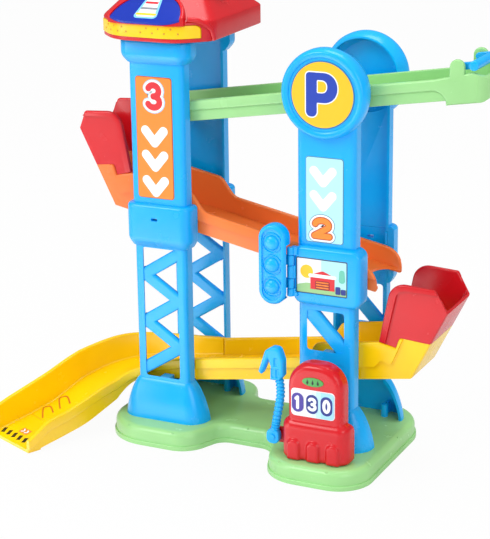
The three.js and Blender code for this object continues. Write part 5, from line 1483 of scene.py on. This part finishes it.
def add_roof():
    x = roof.x
    finish("roof_moulding", moved(roof_shell(), x), red, ["roof_shell"])
    finish("roof_band_moulding", moved(roof_band(0), x), yellow, ["roof_band"])
    finish("roof_band_dots", moved(join(*band_dots()), x), inks.ochre)
    finish("roof_badge_moulding", moved(badge_block(0, BADGE_FACE, PLAIN_EDGE), x), deep_blue,
           ["roof_badge"])
    finish("roof_sign_moulding", roof_sign_moulding(), yellow, ["roof_sign"])
    # a pale tower of decks: a plain sign for a car park
    # pale band: partly print, partly a painted highlight in the middle of the flat badge
    badge_layer("badge_print_and_highlight", BADGE_PRINT_AND_HIGHLIGHT, BADGE_STEP, inks.sky)
    badge_layer("badge_wall", BADGE_WALL, 2 * BADGE_STEP, inks.white)
    for i, (y, half, material) in enumerate(BADGE_DECKS):
        deck = rectangle(-half, half, y, y + DECK_HEIGHT, DECK_CORNER)
        badge_layer(f"badge_deck_{i + 1}", deck, 3 * BADGE_STEP, material)


# Prints: flat layered forms on the sticker plates, drawn as (x, z) in front of a face

INK_STEP = 0.14
CAP = 10


def stroke(path, width, low, high):
    """A round-ended stroke of even width along a path."""
    left, right = [], []
    for i, point in enumerate(path):
        before, after = path[max(i - 1, 0)], path[min(i + 1, len(path) - 1)]
        run = (Vector(after) - Vector(before)).normalized()
        over = Vector((-run.y, run.x)) * width / 2
        left.append(Vector(point) + over)
        right.append(Vector(point) - over)

    def cap(end, start):
        centre = (end + start) / 2
        return [centre + Matrix.Rotation(-math.pi * k / CAP, 2) @ (end - centre)
                for k in range(CAP - 1, 0, -1)]

    return prism("y", right + cap(left[-1], right[-1]) + left[::-1] + cap(right[0], left[0]),
                 low, high)


def print_strokes(name, paths, width, face, step, material):
    finish(name, join(*[stroke(path, width, -face - INK_STEP * step, -face) for path in paths]),
           material)


def glyph_paths(sign, x, z, height):
    """The centrelines of a figure of the given height, its middle at (x, z)."""
    h = height
    if sign == "3":
        return [arc(x, z + 0.25 * h, 0.27 * h, 0.25 * h, 155, -90, 14),
                arc(x, z - 0.25 * h, 0.3 * h, 0.25 * h, 90, -155, 14)]
    if sign == "2":
        bowl = arc(x, z + 0.2 * h, 0.46 * h, 0.3 * h, 168, -32, 14)
        corner = (x - 0.5 * h, z - 0.5 * h)
        return [bowl, [bowl[-1], corner], [corner, (x + 0.5 * h, z - 0.5 * h)]]
    if sign == "1":
        top = (x, z + 0.5 * h)
        return [[(x, z - 0.5 * h), top], [top, (x - 0.16 * h, z + 0.34 * h)]]
    return [arc(x, z, 0.24 * h, 0.5 * h, start, end, 18) for start, end in ((92, -88), (272, 88))]


def print_glyph(name, sign, x, z, height, face, layers):
    """A figure printed in layers: (material, stroke width) from the widest up."""
    for i, (material, width) in enumerate(layers):
        print_strokes(f"{name}_{i + 1}", glyph_paths(sign, x, z, height), width, face, i + 1,
                      material)


def print_flat(name, corners, face, step, material):
    finish(name, prism("y", corners, -face - INK_STEP * step, -face), material)


def chevrons(name, x, heights, half_width, drop, width, face):
    """Thick white round-ended Vs whose tips lie at (x, z)."""
    for i, z in enumerate(heights):
        paths = [[(x - half_width, z + drop), (x, z)], [(x, z), (x + half_width, z + drop)]]
        print_strokes(f"{name}_{i + 1}", paths, width, face, 1, inks.white)


def inside(low, high, margin, corner):
    """A rounded rectangle inside a node's box as the front shows it."""
    return rectangle(low.x + margin, high.x - margin, low.z + margin, high.z - margin, corner)


STICKER_CORNER = 3
STICKER_EDGE = 0.15
FIELD_MARGIN = 0.7
FIELD_CORNER = 2.4


def sticker_plate(name, node, fill, outline_ink):
    """A sticker with round corners: a thin dark edge around the printed field."""
    low, high = node_box(node)
    edge = prism("y", inside(low, high, 0, STICKER_CORNER), low.y, high.y, STICKER_EDGE, 0)
    finish(f"{name}_edge", edge, outline_ink, [node])
    print_flat(f"{name}_field", inside(low, high, FIELD_MARGIN, FIELD_CORNER), -low.y, 1, fill)
    return low, high, -low.y + INK_STEP


def add_tower_prints():
    low, high, face = sticker_plate("sticker_three", "sticker_three", inks.orange, inks.rust)
    x = (low.x + high.x) / 2
    print_glyph("figure_three", "3", x, high.z - 19.2, height=22, face=face,
                layers=[(inks.sky, 12.2), (inks.white, 10.8), (inks.red, 6.4)])
    chevrons("chevron_left", x, heights=(308.5, 284, 258.2), half_width=10, drop=12, width=9.4,
             face=face)
    low, high, face = sticker_plate("sticker_two", "sticker_two", inks.ice, inks.steel)
    x = (low.x + high.x) / 2 - 1.4
    print_glyph("figure_two", "2", x - 1, low.z + 14.6, height=15.4, face=face,
                layers=[(inks.steel, 12.6), (inks.white, 11.2), (inks.rust, 7.4),
                        (inks.orange, 5.2)])
    chevrons("chevron_right", x, heights=(286, 262.4), half_width=9.4, drop=11, width=9, face=face)


def shifted(corners, x, z, inset):
    return outline([(x + a, z + b, radius) for a, b, radius in corners], inset)


# The letter P and its counter as (x, z, corner) about the sign's middle
LETTER = ((-16.4, -21, 5), (-5.5, -21, 5), (-5.5, -7.4, 1.2), (15.2, -7.4, 13.5),
          (15.2, 20.8, 13.5), (-16.4, 20.8, 3.5))
COUNTER = ((-5.3, 1.7, 1.2), (5.1, 1.7, 5.4), (5.1, 13.9, 5.4), (-5.3, 13.9, 1.2))
SIGN_RIM = 1.2
LETTER_BORDER = 1.1
COUNTER_BORDER = 1


def add_parking_sign():
    low, high = node_box("parking_sign")
    x, z = (low.x + high.x) / 2, (low.z + high.z) / 2
    radius = (high.x - low.x) / 2
    finish("parking_edge", prism("y", circle(x, z, radius, FINE), low.y, high.y), inks.rim,
           ["parking_sign"])
    print_flat("parking_field", circle(x, z, radius - SIGN_RIM, FINE), -low.y, 1, inks.amber)
    for i, (name, corners, inset, material) in enumerate((
            ("letter_border", LETTER, -LETTER_BORDER, inks.white),
            ("letter", LETTER, 0, inks.blue),
            ("counter_border", COUNTER, 0, inks.white),
            ("counter", COUNTER, COUNTER_BORDER, inks.amber))):
        print_flat(f"parking_{name}", shifted(corners, x, z, inset), -low.y + INK_STEP, i + 1,
                   material)


def add_billboard_print():
    """A made-up street view: sky, low sun, hills, a striped awning and two blue crates."""
    low, high = node_box("billboard_print")
    x0, x1, z0, z1 = low.x, high.x, low.z, high.z
    face = -low.y
    finish("billboard_edge", prism("y", inside(low, high, 0, 1.5), low.y, high.y), inks.slate,
           ["billboard_print"])
    for name, step, material, corners in (
            ("sky", 1, inks.white, rectangle(1, x1 - x0 - 1, 1, z1 - z0 - 1, 1)),
            ("haze", 2, inks.ice, rectangle(26, x1 - x0 - 1, 1, z1 - z0 - 1, 1)),
            ("ground", 3, inks.green, [(1, 1), (x1 - x0 - 1, 1), (x1 - x0 - 1, 8), (30, 7, 20),
                                       (12, 11, 12), (1, 8)]),
            ("sun", 3, inks.yellow, circle(11, 22, 6.6, 40)),
            ("hall", 4, inks.red, [(15, 5), (40, 5), (40, 19, 2), (27.5, 24, 4), (15, 19, 2)]),
            ("gate", 5, inks.maroon, rectangle(20, 35, 5, 14, 2)),
            ("shutter_1", 6, inks.orange, rectangle(21, 34, 6.6, 7.8, 0.5)),
            ("shutter_2", 6, inks.orange, rectangle(21, 34, 9.2, 10.4, 0.5)),
            ("shutter_3", 6, inks.orange, rectangle(21, 34, 11.8, 13, 0.5)),
            ("awning", 6, inks.white, rectangle(13, 42, 17, 20.4, 1.5)),
            ("crate_1", 5, inks.navy, rectangle(41, 46, 2.5, 10, 1)),
            ("crate_2", 5, inks.navy, rectangle(46.6, 51.6, 2.5, 8, 1)),
            ("tree", 4, inks.mint, [(44, 14, 3), (51, 14, 3), (50, 27, 2.4), (45, 27, 2.4)])):
        places = [(x0 + x, z0 + z, *radius) for x, z, *radius in corners]
        print_flat(f"view_{name}", places, face, step, material)


display = Named(corner=4, edge=0.5, margin=0.8, field_corner=3.4, first=7.2, gap=15,
                tile_half=6.1, tile_rise=9.7, tile_corner=5.8, figure=11, width=3.1)
# How far the display's shades reach from its right edge
SHADES = ((24, inks.pale), (19, inks.haze), (14, inks.sky_pale))
DROP = ((-1.7, -2.3, 1.6), (1.7, -2.3, 1.6), (0, 2.9, 0))
DROP_GAP = 5.4


def add_pump_prints():
    d = display
    low, high = node_box("pump_display")
    face = -low.y
    plate = prism("y", inside(low, high, 0, d.corner), low.y, high.y, d.edge, 0)
    finish("display_plate", plate, inks.white, ["pump_display"])
    for i, (reach, material) in enumerate(SHADES):
        right, foot_z, head_z = high.x - d.margin, low.z + d.margin, high.z - d.margin
        shade = [(high.x - reach, foot_z), (right, foot_z, d.field_corner),
                 (right, head_z, d.field_corner), (high.x - reach, head_z)]
        print_flat(f"display_shade_{i + 1}", shade, face, i + 1, material)
    face += len(SHADES) * INK_STEP
    middle = (low.z + high.z) / 2
    for i, (sign, tile_ink) in enumerate(zip("130", (inks.violet, inks.navy, inks.navy))):
        x = low.x + d.first + d.gap * i
        tile = rectangle(x - d.tile_half, x + d.tile_half, middle - d.tile_rise,
                         middle + d.tile_rise, d.tile_corner)
        print_flat(f"display_tile_{i + 1}", tile, face, 1, tile_ink)
        print_glyph(f"display_figure_{i + 1}", sign, x, middle, d.figure, face + INK_STEP,
                    [(inks.white, d.width)])
    low, high = node_box("pump_badge")
    x, z = (low.x + high.x) / 2, (low.z + high.z) / 2
    ring = [(x + (high.x - low.x) / 2 * a, z + (high.z - low.z) / 2 * b)
            for a, b in circle(0, 0, 1, 64)]
    finish("pump_badge_moulding", prism("y", ring, low.y, high.y, d.edge, 0), badge_green,
           ["pump_badge"])
    for i in range(3):
        drop = [(x + (i - 1) * DROP_GAP + a, z + b, radius) for a, b, radius in DROP]
        print_flat(f"pump_badge_drop_{i + 1}", drop, -low.y, 1, inks.black)


# Stage

FLOOR_HALF = 6.0
FLOOR_DROP = 0.2 * MM
FLOOR_COLOUR = (0.7, 0.7, 0.7, 1)
FLOOR_GLOW = 0.95
# The card: a glowing patch on the floor, no lamp, seen only in reflections, where it paints
# highlights on the front faces
CARD_AT, CARD_NEAR, CARD_FAR, CARD_STRENGTH = (-0.3, -0.42, 0), 0.1, 0.5, 3.0
SKY_LEVEL, SKY_OVERHEAD, SKY_IN_GLOSS = 0.82, 1.3, 0.28
LAMPS = {
    "key": ((-1.1, -1.6, 1.7), 1.1, 19), "fill": ((1.8, -1.5, 1.0), 1.4, 11),
    "top": ((0.1, 0.3, 2.2), 1.2, 14), "low": ((-1.3, -1.3, 0.3), 0.8, 5),
}
AIM = Vector((0, 0, 0.22))


def add_floor():
    """A pale floor that keeps the shadow, white to the camera, with a glowing card patch that only
    reflections see.
    """
    h = FLOOR_HALF
    mesh = bpy.data.meshes.new("floor")
    mesh.from_pydata([(-h, -h, 0), (h, -h, 0), (h, h, 0), (-h, h, 0)], [], [(0, 1, 2, 3)])
    floor = bpy.data.objects.new("floor", mesh)
    scene.collection.objects.link(floor)
    material, n = new_tree("floor")
    rays = n.add("LightPath").outputs
    matt = n.out("BsdfPrincipled", Roughness=0.6, Base_Color=FLOOR_COLOUR)
    seen = n.out("Math", rays["Is Camera Ray"], FLOOR_GLOW, operation="MULTIPLY")
    plain = n.out("MixShader", seen, matt, n.out("Emission", Strength=1.0))
    # the card's glow: emission that only glossy rays see, a painted reflection
    place = n.add("NewGeometry").outputs["Position"]
    reach = n.add("VectorMath", place, CARD_AT, operation="DISTANCE").outputs["Value"]
    fade = n.out("MapRange", reach, CARD_NEAR, CARD_FAR, CARD_STRENGTH, 0.0)
    mirrored = n.out("Math", fade, rays["Is Glossy Ray"], operation="MULTIPLY")
    card = n.out("Emission", Strength=mirrored)
    n.add("OutputMaterial", Surface=n.out("AddShader", plain, card))
    mesh.materials.append(material)
    floor.location.z = -FLOOR_DROP


def add_world():
    """A soft dome, brighter overhead, white to the camera and dimmer in reflections."""
    world = bpy.data.worlds.new("studio")
    scene.world = world
    world.use_nodes = True
    n = Nodes(world.node_tree)
    rays = n.add("LightPath").outputs
    up = n.add("SeparateXYZ", n.add("TexCoord").outputs["Generated"]).outputs["Z"]
    dome = n.out("MapRange", up, 0.0, 0.9, SKY_LEVEL, SKY_OVERHEAD)
    gloss = n.out("MapRange", rays["Is Glossy Ray"], 0.0, 1.0, 1.0, SKY_IN_GLOSS)
    unseen = n.out("Math", dome, gloss, operation="MULTIPLY")
    level = n.out("Math", unseen, rays["Is Camera Ray"], operation="MAXIMUM")
    n.add("OutputWorld", Surface=n.out("Background", Strength=level))


def add_lights():
    for name, (place, size, power) in LAMPS.items():
        data = bpy.data.lights.new(name, "AREA")
        data.shape = "DISK"
        data.size = size
        data.energy = power
        lamp = bpy.data.objects.new(name, data)
        lamp.location = place
        lamp.rotation_euler = (AIM - Vector(place)).to_track_quat("-Z", "Y").to_euler()
        scene.collection.objects.link(lamp)


scene.view_settings.view_transform = "Standard"
add_camera()
add_world()
add_lights()
add_floor()
add_towers()
finish("base_moulding", base_moulding(), green, ["base_tray"])
add_fittings()
add_ramps()
finish("exit_ramp_moulding", exit_ramp_moulding(), yellow, ["exit_ramp"])
add_slide_prints()
add_roof()
add_tower_prints()
add_parking_sign()
add_billboard_print()
add_pump_prints()
finish_nodes()
